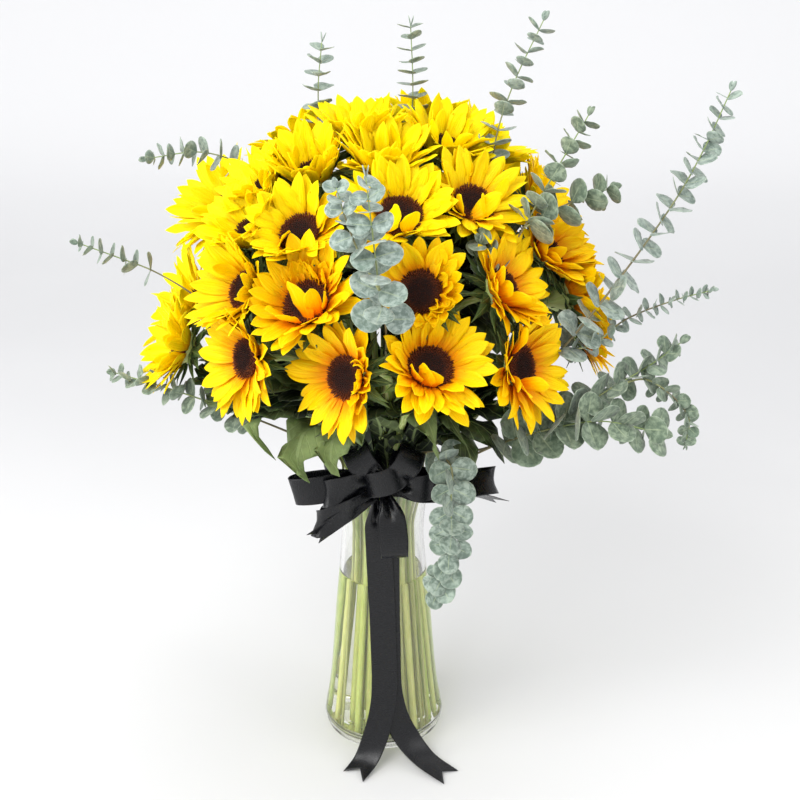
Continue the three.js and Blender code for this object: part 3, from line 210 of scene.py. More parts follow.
# Ribbon: the way across each strip of the bow and its route, and a way across at each point of a tail
RIBBON_WIDTH = 25
RIBBON_THICKNESS = 0.4
NOTCH_DEPTH = 11
BOW_LOOPS = {
    "left_outer": ([-0.28, 0.2, 0.94], [
        [-6, -62, 309], [-34, -80, 311], [-64, -84, 307], [-80, -76, 303], [-77, -66, 302],
        [-54, -61, 304], [-28, -59, 304], [-4, -58, 306]]),
    "left_middle": ([0.22, 0, 0.97], [
        [-3, -66, 308], [-20, -84, 314], [-38, -92, 312], [-49, -88, 306], [-46, -79, 304],
        [-24, -70, 308], [-4, -62, 308]]),
    "left_inner": ([0.36, 0, 0.93], [
        [-4, -66, 300], [-28, -88, 291], [-50, -93, 281], [-59, -87, 276], [-53, -79, 278],
        [-28, -74, 287], [-4, -64, 297]]),
    "centre": ([1, 0, 0.05], [
        [3, -66, 298], [9, -82, 282], [12, -89, 260], [12, -88, 244], [12, -81, 238], [11, -75, 247],
        [8, -71, 270], [4, -67, 292]]),
    "up_left": ([0.86, 0.12, 0.5], [
        [0, -64, 309], [-8, -80, 322], [-17, -87, 336], [-23, -80, 347], [-21, -69, 345],
        [-11, -61, 328], [0, -58, 309]]),
    "up_right": ([0.86, 0.12, -0.5], [
        [8, -64, 309], [15, -82, 322], [24, -89, 336], [29, -81, 346], [27, -70, 343], [18, -61, 327],
        [9, -58, 309]]),
    "right": ([0.08, 0.1, 0.99], [
        [8, -63, 308], [30, -80, 308], [46, -78, 309], [50, -68, 309], [30, -61, 308], [8, -58, 308]]),
    "far_right": ([-0.05, 0.84, 0.54], [
        [8, -62, 298], [50, -68, 300], [86, -63, 304], [103, -52, 302], [100, -42, 299],
        [82, -46, 298], [52, -56, 298], [14, -58, 301]]),
}
BOW_ENDS = {
    "left": ([0.42, 0.62, -0.66], [[-4, -66, 296], [-30, -84, 284], [-62, -90, 262]]),
    "right": ([0.3, -0.8, 0.52], [[8, -59, 294], [52, -62, 292], [88, -58, 290], [112, -52, 280]]),
}
KNOT = ([-0.34, 0, 0.94], [
    [-19, -55, 302], [-18, -71, 307], [-8, -84, 313], [5, -88, 318], [17, -83, 323], [24, -70, 326],
    [24, -55, 327]])
BAND_RADIUS = 52.6
BAND_HEIGHT = 299
BAND_WAVE = 0.6
TAILS = {
    "left": (
        [[1, 0, 0], [1, 0, 0], [1, 0, 0], [1, -0.02, 0], [0.99, -0.1, 0], [0.88, -0.47, 0], [0.8, -0.6, 0]],
        [[-4, -62.6, 287.9], [-2, -63.4, 226], [1, -64.4, 138], [1, -67.4, 69], [-6, -73, 34],
         [-17, -84, 9], [-29, -99, 1.4]]),
    "right": (
        [[1, 0, 0], [1, 0, 0], [1, 0, 0], [1, 0.02, 0], [0.99, 0.12, 0], [0.74, 0.67, 0], [0.46, 0.89, 0]],
        [[4, -60.6, 287.6], [4, -61.1, 226], [5, -62.1, 138], [8, -64.4, 69], [19, -68, 34],
         [41, -81, 9], [67, -100, 1.4]]),
}

# Stage, in metres, watts and degrees, with the lens and its sensor in millimetres: lights as rows of
# place, aimed height, size and power
LIGHTS = {
    "key": ((-0.9, -1.3, 1.9), 0.4, (1.2, 1.2), 31),
    "top": ((0.5, 0.4, 2.2), 0.4, (1.4, 1.4), 9),
    "left": ((-1.8, -0.7, 0.9), 0.4, (0.8, 1.2), 13),
    "right": ((1.7, -0.9, 1.0), 0.35, (0.8, 1.4), 6),
}
SKY_COLOUR = (0.985, 0.99, 1.0, 1.0)
CAMERA_PLACE = (0.017, -1.077, 0.824)
CAMERA_TURN = [66.7, 0, 0]
LENS = 56.25
SENSOR = 36


# Geometry helpers
def unit(vectors):
    """Each vector at length 1."""
    vectors = np.asarray(vectors, float)
    return vectors / np.maximum(np.linalg.norm(vectors, axis=-1, keepdims=True), 1e-12)


def direction(azimuth, elevation):
    """Unit vector at an azimuth from the front towards the right, and an elevation, in degrees."""
    a, e = np.radians(azimuth), np.radians(elevation)
    return np.array([np.sin(a) * np.cos(e), -np.cos(a) * np.cos(e), np.sin(e)])


def spun(vector, axis, degrees):
    """A vector turned about a unit axis."""
    a = np.radians(degrees)
    return (vector * np.cos(a) + np.cross(axis, vector) * np.sin(a)
            + axis * np.dot(axis, vector) * (1 - np.cos(a)))


def smooth(share):
    share = np.clip(share, 0, 1)
    return share * share * (3 - 2 * share)


def smooth_route(points, per_span=16):
    """Points of a centripetal Catmull-Rom curve through a route."""
    points = np.asarray(points, float)
    control = np.vstack([2 * points[0] - points[1], points, 2 * points[-1] - points[-2]])
    found = []
    for k in range(len(points) - 1):
        p = control[k:k + 4]
        t = np.concatenate([[0], np.cumsum(np.linalg.norm(np.diff(p, axis=0), axis=1) ** 0.5)])
        s = np.linspace(t[1], t[2], per_span, endpoint=False)[:, None]

        def between(a, b, low, high):
            return ((high - s) * a + (s - low) * b) / (high - low)

        first = [between(p[i], p[i + 1], t[i], t[i + 1]) for i in range(3)]
        second = [between(first[i], first[i + 1], t[i], t[i + 2]) for i in range(2)]
        found.append(between(second[0], second[1], t[1], t[2]))
    return np.vstack([*found, points[-1:]])


def route_lengths(points):
    return np.concatenate([[0], np.cumsum(np.linalg.norm(np.diff(points, axis=0), axis=1))])


def at_lengths(points, wanted):
    """Points of a route at the wanted lengths along it."""
    run = route_lengths(points)
    return np.stack([np.interp(wanted, run, points[:, k]) for k in range(points.shape[1])], axis=1)


def even_route(points, count):
    dense = smooth_route(points)
    return at_lengths(dense, np.linspace(0, route_lengths(dense)[-1], count))


def tangents(points):
    return unit(np.gradient(points, axis=0))


def grid_quads(index):
    """Quads between the rows and columns of a grid of vertex numbers."""
    corners = [index[:-1, :-1], index[1:, :-1], index[1:, 1:], index[:-1, 1:]]
    return np.stack(corners, axis=-1).reshape(-1, 4)


def ring_faces(rows, sides):
    """Quads between rings of vertices, and fans at both ends round two vertices that follow them."""
    index = np.arange(rows * sides).reshape(rows, sides)
    after = np.roll(index, -1, axis=1)
    quads = np.stack([index[:-1], after[:-1], after[1:], index[1:]], axis=-1).reshape(-1, 4)
    first, last = rows * sides, rows * sides + 1
    fans = [[first, after[0, k], index[0, k]] for k in range(sides)]
    fans += [[last, index[-1, k], after[-1, k]] for k in range(sides)]
    return quads, fans


def mesh_object(name, points, faces, material):
    """A smooth mesh object in the scene."""
    mesh = bpy.data.meshes.new(name)
    mesh.from_pydata(points, [], faces)
    mesh.validate()
    mesh.shade_smooth()
    mesh.materials.append(material)
    made = bpy.data.objects.new(name, mesh)
    bpy.context.scene.collection.objects.link(made)
    return made


class Heap:
    """Vertices, faces and vertex values of one piece, gathered part by part, in millimetres."""

    def __init__(self):
        self.points, self.quads, self.triangles, self.values, self.count = [], [], [], {}, 0

    def add(self, points, quads, triangles=(), **values):
        points = points.reshape(-1, 3)
        self.quads += (np.asarray(quads, int).reshape(-1, 4) + self.count).tolist()
        self.triangles += (np.asarray(triangles, int).reshape(-1, 3) + self.count).tolist()
        for name, value in values.items():
            self.values.setdefault(name, []).append(value)
        self.points.append(points)
        self.count += len(points)

    def piece(self, name, material, replaces, slot):
        """The mesh object in place, riding on the only body."""
        points = np.vstack(self.points) / 1000
        made = mesh_object(name, points.tolist(), self.quads + self.triangles, material)
        for key, parts in self.values.items():
            whole = np.concatenate(parts)
            kind, field = ("FLOAT", "value") if whole.ndim == 1 else ("FLOAT_VECTOR", "vector")
            attribute = made.data.attributes.new(key, kind, "POINT")
            attribute.data.foreach_set(field, whole.astype(np.float32).ravel())
        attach(made, "root")
        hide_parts(*replaces)
        return made


def closed_grids(points, thickness, keep=0.4):
    """Closed thin bodies from grids of points (bodies, along, across, 3): vertices and quads.

    The rims along a body's sides keep a share of its thickness."""
    count, rows, columns = points.shape[:3]
    square = unit(np.cross(np.gradient(points, axis=1), np.gradient(points, axis=2)))
    share = np.linspace(-1, 1, columns)
    half = thickness / 2 * (keep + (1 - keep) * (1 - share ** 2))[None, None, :, None]
    both = np.stack([points + square * half, points - square * half], axis=1)
    index = np.arange(rows * columns).reshape(rows, columns)
    top = grid_quads(index)
    under = top[:, ::-1] + rows * columns
    loop = np.concatenate([index[:, 0], index[-1, 1:], index[::-1, -1][1:], index[0, ::-1][1:-1]])
    after = np.roll(loop, -1)
    wall = np.stack([after, loop, loop + rows * columns, after + rows * columns], axis=-1)
    faces = np.vstack([top, under, wall])
    step = 2 * rows * columns
    quads = (faces[None] + (np.arange(count) * step)[:, None, None]).reshape(-1, 4)
    return both.reshape(-1, 3), quads


# Steps of the fine line along which a blade's bend is summed; the shares of its rows fall on them
FINE = 40


def blades(root, out, face, length, half, profile, shares, columns, bend=0.0, bend_power=1.5, twist=0.0,
           sway=0.0, trough=0.0, ruffle=0.0, waves=0.0, groove=0.0, phase=0.0):
    """Grids of leaf-like blades, one for each row of root, out and face. Angles are in degrees."""
    count = len(root)

    def column(value):
        return np.broadcast_to(np.asarray(value, float), (count,))[:, None]

    def deep(value):
        return column(value)[..., None]

    fine = np.linspace(0, 1, FINE + 1)[None]
    turn = np.radians(column(bend)) * fine ** bend_power
    ahead, rise = np.cos(turn), np.sin(turn)

    def summed(values):
        steps = (values[:, 1:] + values[:, :-1]) / 2 / FINE
        return np.concatenate([np.zeros((count, 1)), np.cumsum(steps, axis=1)], axis=1)

    picked = np.rint(np.asarray(shares) * FINE).astype(int)
    share = fine[0, picked][None]
    x = (summed(ahead)[:, picked] * column(length))[..., None]
    z = (summed(rise)[:, picked] * column(length))[..., None]
    ahead, rise = ahead[:, picked, None], rise[:, picked, None]
    side = unit(np.cross(face, out))[:, None]
    out, face = out[:, None], face[:, None]
    drift = (column(sway) * column(length) * share ** 2)[..., None]
    centre = root[:, None] + x * out + z * face + drift * side
    square = face * ahead - out * rise
    spin = (np.radians(column(twist)) * share)[..., None]
    side, square = side * np.cos(spin) + square * np.sin(spin), square * np.cos(spin) - side * np.sin(spin)
    width = (column(half) * np.asarray(profile)[None])[..., None]
    v = np.linspace(-1, 1, columns)[None, None]
    fade = np.sin(np.pi * share ** 0.8)[..., None]
    wave = np.sin(2 * np.pi * waves * share[..., None] + deep(phase) + 1.4 * np.sign(v))
    lift = (deep(trough) * width * v ** 2 + deep(ruffle) * width * v ** 2 * wave * fade
            + deep(groove) * np.cos(3 * np.pi * v) * fade)
    flat = centre[:, :, None] + side[:, :, None] * (width * v)[..., None]
    return flat + square[:, :, None] * lift[..., None]


def blades_of(rows, profile, shares, columns, **settings):
    """Grids of the blades that a list of dictionaries describes."""
    values = {key: np.array([row[key] for row in rows]) for key in rows[0] if key != "seed"}
    return blades(profile=profile, shares=shares, columns=columns, **values, **settings)


def blade_values(shares, columns, seeds):
    """Share along, place across and seed at each vertex of closed blades."""
    along, across = np.meshgrid(np.asarray(shares), np.linspace(-1, 1, columns), indexing="ij")
    single = np.stack([along.ravel(), across.ravel()], axis=-1)
    both = np.tile(np.vstack([single, single]), (len(seeds), 1))
    seed = np.repeat(np.asarray(seeds, float), 2 * len(single))
    return np.column_stack([both, seed])


def tube(points, radii, sides):
    """A closed round tube: vertices, quads and triangles."""
    radii = np.broadcast_to(np.asarray(radii, float), (len(points),))
    ahead = tangents(points)
    start = np.cross(ahead[0], UP)
    if np.linalg.norm(start) < 0.2:
        start = np.cross(ahead[0], [1, 0, 0])
    side = unit(start)
    turn = 2 * np.pi * np.arange(sides) / sides
    rings = []
    for k, centre in enumerate(points):
        side = unit(side - ahead[k] * np.dot(side, ahead[k]))
        other = np.cross(ahead[k], side)
        rings.append(centre + radii[k] * (np.outer(np.cos(turn), side) + np.outer(np.sin(turn), other)))
    return np.vstack([*rings, points[:1], points[-1:]]), *ring_faces(len(points), sides)


def lathe(profile, segments):
    """A body turned about the z axis from rows of radius and height, upwards on its outside."""
    profile = np.asarray(profile, float)
    turn = 2 * np.pi * np.arange(segments) / segments
    points = np.stack([np.outer(profile[:, 0], np.cos(turn)), np.outer(profile[:, 0], np.sin(turn)),
                       np.repeat(profile[:, 1:2], segments, axis=1)], axis=-1).reshape(-1, 3)
    ends = [[0, 0, profile[0, 1]], [0, 0, profile[-1, 1]]]
    return np.vstack([points, ends]), *ring_faces(len(profile), segments)


# Materials
def colour(red, green, blue):
    """A colour from its screen values, 0 to 255."""
    share = np.array([red, green, blue]) / 255
    linear = np.where(share <= 0.04045, share / 12.92, ((share + 0.055) / 1.055) ** 2.4)
    return (*linear.tolist(), 1.0)


class Graph:
    """The nodes of one material."""

    def __init__(self, name):
        self.material = bpy.data.materials.new(name)
        self.material.use_nodes = True
        self.tree = self.material.node_tree
        self.shader = self.tree.nodes["Principled BSDF"]
        self.output = self.tree.nodes["Material Output"]

    def feed(self, socket, value):
        if isinstance(value, bpy.types.NodeSocket):
            self.tree.links.new(value, socket)
        else:
            socket.default_value = value

    def node(self, kind, inputs=None, output=0, **settings):
        made = self.tree.nodes.new(kind)
        for key, value in settings.items():
            setattr(made, key, value)
        for key, value in (inputs or {}).items():
            self.feed(made.inputs[key], value)
        return made.outputs[output]

    def set(self, **values):
        for key, value in values.items():
            self.feed(self.shader.inputs[key.replace("_", " ")], value)

    def attribute(self, name, output="Fac"):
        return self.node("ShaderNodeAttribute", attribute_name=name, output=output)

    def parts(self, vector):
        made = self.tree.nodes.new("ShaderNodeSeparateXYZ")
        self.tree.links.new(vector, made.inputs[0])
        return made.outputs[0], made.outputs[1], made.outputs[2]

    def values(self, name):
        """The three values that each vertex holds under a name."""
        return self.parts(self.attribute(name, "Vector"))

    def math(self, operation, *values, clamp=False):
        return self.node("ShaderNodeMath", dict(enumerate(values)), operation=operation, use_clamp=clamp)

    def times(self, first, second):
        return self.math("MULTIPLY", first, second)

    def times_plus(self, first, second, third, clamp=False):
        return self.math("MULTIPLY_ADD", first, second, third, clamp=clamp)

    def size(self, value):
        return self.math("ABSOLUTE", value)

    def span(self, value, low, high, to_low=0.0, to_high=1.0, kind="SMOOTHSTEP"):
        return self.node("ShaderNodeMapRange", {0: value, 1: low, 2: high, 3: to_low, 4: to_high},
                         interpolation_type=kind)

    def mix(self, share, first, second):
        return self.node("ShaderNodeMix", {0: share, 6: first, 7: second}, output=2, data_type="RGBA")

    def vector(self, x, y, z=0.0):
        return self.node("ShaderNodeCombineXYZ", {0: x, 1: y, 2: z})

    def noise(self, vector, scale, detail=2.0, roughness=0.5, distortion=0.0):
        return self.node("ShaderNodeTexNoise", {"Vector": vector, "Scale": scale, "Detail": detail,
                                                "Roughness": roughness, "Distortion": distortion})

    def place(self):
        return self.node("ShaderNodeTexCoord", output="Object")

    def bump(self, height, strength, distance):
        return self.node("ShaderNodeBump", {"Height": height, "Strength": strength, "Distance": distance})


LEMON = colour(255, 227, 0)
GOLD = colour(255, 203, 0)
# Orange of the petal roots, partly their own colour and partly painted shade near the disc
ORANGE_AND_PAINTED_SHADE = colour(236, 116, 0)
PALE_YELLOW = colour(255, 240, 60)
WHITE = (1.0, 1.0, 1.0, 1.0)
STEM_RIDGES = 9
# Threads of the satin in each millimetre
THREADS_ACROSS = 2.6
THREADS_ALONG = 1.7


def petal_material():
    """Lemon to golden petal with fine ribs and pale streaks, orange towards its root: partly the petal's
    own colour, partly painted shade where petals overlap near the disc.
    """
    g = Graph("sunflower_petal")
    along, across, seed = g.values("blade")
    gold = g.attribute("gold")
    streak_place = g.vector(g.times_plus(across, 4.5, g.times(seed, 37.0)),
                            g.times_plus(along, 1.3, g.times(seed, 11.0)))
    streak = g.noise(streak_place, 1.0, 3.0, 0.6)
    base = g.mix(gold, LEMON, GOLD)
    base = g.mix(g.span(streak, 0.5, 0.8, 0.0, 0.4), base, PALE_YELLOW)
    # The orange root is partly the petal's own colour and partly painted shade where petals overlap near
    # the disc; gold sets how far it reaches
    far = g.times_plus(gold, 0.4, 0.42)
    root = g.span(g.times_plus(streak, 0.3, along), 0.2, far, 1.0, 0.0)
    root = g.times(root, g.span(gold, 0.0, 1.0, 0.35, 0.95, "LINEAR"))
    ribs = g.math("COSINE", g.times(across, 19.0))
    g.set(Base_Color=g.mix(root, base, ORANGE_AND_PAINTED_SHADE), Roughness=g.span(streak, 0.3, 0.7, 0.48, 0.66),
          Normal=g.bump(g.times_plus(ribs, 0.35, streak), 0.35, 0.0006))
    g.set(Specular_IOR_Level=0.12, Subsurface_Weight=0.3, Subsurface_Scale=0.003,
          Subsurface_Radius=(1.0, 0.6, 0.1))
    return g.material


def disc_material():
    """Dark brown florets, redder and paler at the tips of those near the rim."""
    g = Graph("sunflower_disc")
    place, tip, tint = g.values("floret")
    speck = g.noise(g.place(), 900.0, 3.0)
    dark = g.mix(g.span(speck, 0.35, 0.7), colour(22, 10, 8), colour(58, 26, 18))
    brown = g.mix(g.span(speck, 0.3, 0.7), colour(74, 34, 20), colour(112, 56, 24))
    shade = g.mix(g.span(g.times_plus(tint, 0.35, place), 0.55, 1.15), dark, brown)
    pale = g.times(g.span(tip, 0.5, 1.0), g.span(tint, 0.6, 1.0, 0.0, 0.7))
    g.set(Base_Color=g.mix(pale, shade, colour(150, 84, 30)),
          Roughness=g.span(speck, 0.3, 0.7, 0.7, 0.95), Normal=g.bump(speck, 0.5, 0.0004))
    g.set(Specular_IOR_Level=0.25)
    return g.material


def leaf_material(name, dark, light, rib, veins):
    """Green leaf with a pale midrib and side veins; its seed and a mottle set how light it is, and the
    seeds given to the large leaves are painted light and shade for where each leaf lies.
    """
    g = Graph(name)
    along, across, seed = g.values("blade")
    wide = g.size(across)
    cells = g.noise(g.place(), 260.0, 4.0, 0.6)
    patch = g.noise(g.place(), 38.0, 2.0)
    mottle = g.span(g.times_plus(cells, 0.5, patch), 0.5, 1.1, 0.0, 0.5)
    blade = g.mix(g.times_plus(seed, 0.36, mottle, clamp=True), dark, light)
    comb = g.math("FRACT", g.times(g.math("SUBTRACT", along, g.times(wide, 0.3)), veins))
    side_vein = g.span(g.size(g.math("SUBTRACT", comb, 0.5)), 0.40, 0.5)
    middle = g.span(wide, 0.03, 0.09, 1.0, 0.0)
    vein = g.math("MAXIMUM", g.times(side_vein, 0.45), middle)
    relief = g.times_plus(vein, -1.0, g.times(cells, 0.5))
    g.set(Base_Color=g.mix(g.times(vein, 0.75), blade, rib), Roughness=g.span(cells, 0.3, 0.7, 0.5, 0.72),
          Normal=g.bump(relief, 0.5, 0.0008))
    g.set(Specular_IOR_Level=0.35, Subsurface_Weight=0.08, Subsurface_Scale=0.002,
          Subsurface_Radius=(0.5, 1.0, 0.3))
    return g.material


def stem_material():
    """Ribbed green stem, paler or yellower by its seed towards its foot, where the pale is partly painted
    light on the stems in the vase.
    """
    g = Graph("sunflower_stem")
    along, turn, seed = g.values("stem")
    mottle = g.noise(g.vector(g.times(turn, 3.0), g.times(along, 14.0), seed), 3.0, 3.0)
    shade = g.mix(g.span(mottle, 0.35, 0.7), colour(150, 172, 84), colour(206, 214, 148))
    # Paler foot: partly the stem's own colour, partly painted light on the stems in the vase
    foot = g.mix(g.span(seed, 2.0, 8.0), colour(224, 222, 160), colour(178, 196, 104))
    ridge = g.math("COSINE", g.times(turn, FULL_TURN * STEM_RIDGES))
    g.set(Base_Color=g.mix(g.span(along, 0.55, 0.3, 0.0, 0.7), shade, foot),
          Roughness=g.span(mottle, 0.3, 0.7, 0.45, 0.65),
          Normal=g.bump(g.times_plus(ridge, 0.3, mottle), 0.4, 0.0006))
    g.set(Specular_IOR_Level=0.4, Subsurface_Weight=0.1, Subsurface_Scale=0.002)
    return g.material


def eucalyptus_material():
    """Mottled blue-grey to green leaf with a pale rim and rib."""
    g = Graph("eucalyptus_leaf")
    along, across, seed = g.values("blade")
    wide = g.size(across)
    mottle = g.noise(g.place(), 210.0, 4.0, 0.62, 0.4)
    grain = g.noise(g.place(), 900.0, 2.0)
    spread = g.span(mottle, 0.35, 0.68)
    blue = g.mix(spread, colour(110, 127, 121), colour(180, 194, 188))
    green = g.mix(spread, colour(78, 96, 70), colour(140, 156, 122))
    shade = g.mix(g.attribute("tone"), blue, green)
    shade = g.mix(g.span(seed, 0.0, 1.0, 0.0, 0.3, "LINEAR"), shade, colour(104, 128, 104))
    rim = g.span(g.math("MAXIMUM", wide, g.span(along, 0.86, 1.0, 0.8, 1.0)), 0.9, 1.0, 0.0, 0.55)
    shade = g.mix(rim, shade, colour(176, 190, 168))
    rib = g.times(g.span(wide, 0.02, 0.07, 0.6, 0.0), g.span(along, 0.95, 0.5, 0.0, 1.0))
    g.set(Base_Color=g.mix(rib, shade, colour(172, 186, 150)), Roughness=g.span(grain, 0.3, 0.7, 0.55, 0.8),
          Normal=g.bump(g.times_plus(mottle, 0.7, grain), 0.25, 0.0005))
    g.set(Specular_IOR_Level=0.35, Sheen_Weight=0.25, Sheen_Roughness=0.6)
    return g.material


def twig_material():
    """Brown twig, pale towards its foot and green at its tip; the pale foot is partly painted light on the
    twigs in the vase.
    """
    g = Graph("eucalyptus_twig")
    along, turn, seed = g.values("stem")
    grain = g.noise(g.vector(g.times(turn, 4.0), g.times(along, 20.0), seed), 3.0, 3.0)
    shade = g.mix(g.span(along, 0.6, 0.95), colour(120, 108, 78), colour(140, 164, 96))
    # Pale foot: partly the twig's own colour, partly painted light in the vase
    shade = g.mix(g.span(along, 0.5, 0.35), shade, colour(176, 180, 122))
    shade = g.mix(g.span(grain, 0.4, 0.7, 0.0, 0.5), shade, colour(160, 158, 124))
    g.set(Base_Color=shade, Roughness=g.span(grain, 0.3, 0.7, 0.5, 0.75), Normal=g.bump(grain, 0.4, 0.0004))
    return g.material


def satin_material():
    """Black satin with fine threads, slubs along it and a duller woven edge; its values are millimetres."""
    g = Graph("black_satin")
    across, along, seed = g.values("weave")
    thread = g.math("SINE", g.times(across, FULL_TURN * THREADS_ACROSS))
    weft = g.math("SINE", g.times_plus(along, FULL_TURN * THREADS_ALONG, g.times(thread, 0.6)))
    slub = g.noise(g.vector(g.times(across, 0.25), g.times(along, 2.2), seed), 1.0, 3.0)
    edge = g.span(g.size(across), 11.6, 12.1)
    shade = g.mix(g.span(slub, 0.3, 0.7), colour(6, 7, 9), colour(15, 16, 20))
    height = g.times_plus(weft, 0.6, g.times_plus(thread, 0.3, slub))
    g.set(Base_Color=g.mix(edge, shade, colour(8, 8, 11)),
          Roughness=g.math("ADD", g.span(slub, 0.25, 0.75, 0.2, 0.32), g.times(edge, 0.2)),
          Normal=g.bump(height, 0.12, 0.0002))
    g.set(Specular_IOR_Level=0.36, Sheen_Weight=0.02, Sheen_Roughness=0.35, Sheen_Tint=(0.6, 0.7, 1.0, 1.0))
    return g.material


def clear_material(name, tint, ior, wave_scale, wave_strength):
    """Clear body that lets lamp light through to what stands in it."""
    g = Graph(name)
    wave = g.noise(g.place(), wave_scale, 2.0)
    smudge = g.noise(g.place(), 30.0, 4.0, 0.6)
    g.set(Base_Color=g.mix(g.span(smudge, 0.3, 0.8), tint, WHITE),
          Roughness=g.span(smudge, 0.55, 0.9, 0.0, 0.04), Normal=g.bump(wave, wave_strength, 0.0008))
    g.set(IOR=ior, Transmission_Weight=1.0)
    path = g.tree.nodes.new("ShaderNodeLightPath")
    through = g.math("MAXIMUM", path.outputs["Is Shadow Ray"], path.outputs["Is Diffuse Ray"])
    open_way = g.node("ShaderNodeBsdfTransparent", {"Color": tint})
    mixed = g.node("ShaderNodeMixShader", {0: through, 1: g.shader.outputs[0], 2: open_way})
    g.tree.links.new(mixed, g.output.inputs["Surface"])
    return g.material


def stage_material():
    """Pale stage sheet, a little darker behind the vase as painted shade and lighter far back as painted
    light.
    """
    g = Graph("stage_paper")
    cloud = g.noise(g.place(), 1.2, 4.0, 0.55, 0.6)
    # The darker band behind the vase is painted shade and the lighter far back is painted light
    back = g.parts(g.place())[1]
    painted_light_and_shade_paper = g.mix(g.span(back, 0.1, 0.9), colour(215, 215, 215), colour(208, 208, 209))
    painted_light_and_shade_paper = g.mix(g.span(back, 0.9, 3.0), painted_light_and_shade_paper, colour(239, 239, 240))
    g.set(Base_Color=g.mix(g.span(cloud, 0.35, 0.7, 0.0, 0.1), painted_light_and_shade_paper, colour(240, 240, 241)),
          Roughness=g.span(cloud, 0.3, 0.7, 0.5, 0.65))
    g.set(Specular_IOR_Level=0.2)
    return g.material


PETAL = petal_material()
DISC = disc_material()
# The leaves' dark end is painted shade, for leaves deep between and under the heads
LEAF = leaf_material("sunflower_leaf", colour(22, 33, 17), colour(142, 162, 100), colour(150, 168, 112),
                     8.0)
BRACT = leaf_material("sunflower_bract", colour(46, 66, 28), colour(112, 136, 72), colour(138, 160, 92),
                      3.0)
STEM = stem_material()
EUCALYPTUS = eucalyptus_material()
TWIG = twig_material()
SATIN = satin_material()
GLASS = clear_material("vase_glass", (0.97, 0.98, 0.95, 1.0), 1.45, 22.0, 0.05)
WATER = clear_material("vase_water", (0.93, 0.93, 0.76, 1.0), 1.333, 60.0, 0.03)


# Blooms with their frames, and the stems settled in the bundle as in the part's source
class Bloom:
    def __init__(self, group, row, look):
        azimuth, elevation, facing, tilt, self.disc, self.petal, self.cup = row
        facing, tilt = look.get("faces", (facing, tilt))
        out = direction(azimuth, elevation)
        self.group = group
        self.centre = np.array([out[0] * DOME_RADIUS, out[1] * DOME_RADIUS,
                                DOME_CENTRE_HEIGHT + out[2] * DOME_RISE])
        self.normal = direction(facing, tilt)
        self.across = direction(facing + 90, 0)
        self.up = np.cross(self.normal, self.across)
        # Blooms are golden low in the dome and lemon at its top
        golden = 0.85 - 0.75 * (self.centre[2] - 440) / 170
        self.gold = look.get("gold", float(np.clip(golden, 0.02, 1.0)))
        self.look = look
        self.cup_now = look.get("cup", self.cup + 4)

    def radial(self, turn):
        return np.multiply.outer(np.cos(turn), self.across) + np.multiply.outer(np.sin(turn), self.up)

    def point(self, turn, radius, height):
        return (self.centre + radius * np.cos(turn) * self.across + radius * np.sin(turn) * self.up
                + height * self.normal)

    def lifted(self, radial, degrees):
        """Ways along and square to a blade that is lifted from the disc's plane."""
        a = np.radians(degrees)
        return dict(out=np.cos(a) * radial + np.sin(a) * self.normal,
                    face=-np.sin(a) * radial + np.cos(a) * self.normal)

    def placed(self, points):
        """Points of the bloom's own frame, in the arrangement's."""
        return self.centre + points @ np.stack([self.across, self.up, self.normal])

    def local(self, points):
        """Distance from the axis and height over the disc's plane."""
        away = points - self.centre
        height = away @ self.normal
        return np.linalg.norm(away - height[..., None] * self.normal, axis=-1), height


blooms = []
for group, rows in BLOOMS.items():
    for row in rows:
        blooms.append(Bloom(group, row, LOOKS.get(len(blooms) + 1, {})))


def bundle_place(target):
    reach = np.hypot(target[0], target[1])
    angle = np.degrees(np.arctan2(reach, target[2] - WAIST_HEIGHT))
    return np.array(target[:2], float) / reach * BUNDLE_RADIUS * angle / FAN_ANGLE


def settle(places, is_spray):
    """Stems of the bundle pushed apart and kept inside the waist."""
    for _ in range(SETTLE_PASSES):
        for i in range(len(places)):
            for j in range(i + 1, len(places)):
                needed = SPRAY_SPACING if is_spray[i] or is_spray[j] else STEM_SPACING
                apart = places[j] - places[i]
                distance = np.hypot(*apart)
                if needed - distance > 0:
                    push = apart / distance * (needed - distance) / 2
                    places[i] = places[i] - push
                    places[j] = places[j] + push
        for i, spray in enumerate(is_spray):
            limit = BUNDLE_LIMIT - (SPRAY_STEM_RADIUS if spray else STEM_RADIUS)
            length = np.hypot(*places[i])
            if length > limit:
                places[i] = places[i] / length * limit


inner_sprays = [name for name, spray in SPRAYS.items() if spray[0] is None]
places = [bundle_place(bloom.centre) for bloom in blooms]
places += [bundle_place(SPRAYS[name][-1][0][0][1]) for name in inner_sprays]
settle(places, [False] * len(blooms) + [True] * len(inner_sprays))


def lower_route(place):
    """The way of a stem from the water to the rim, inside the bundle."""
    levels = ((FOOT_SPREAD, FOOT_HEIGHT), (1, WAIST_HEIGHT), (RIM_SPREAD, RIM_HEIGHT))
    return [[place[0] * spread, place[1] * spread, height] for spread, height in levels]


def ring_route(azimuth):
    """The way of a spray's stem that stands between the bundle and the glass."""
    out = direction(azimuth, 0)
    return [[out[0] * radius, out[1] * radius, height] for radius, height in RING_PROFILE]


spray_lower = {name: lower_route(places[len(blooms) + k]) for k, name in enumerate(inner_sprays)}
for name, spray in SPRAYS.items():
    if spray[0] is not None:
        spray_lower[name] = ring_route(spray[0])

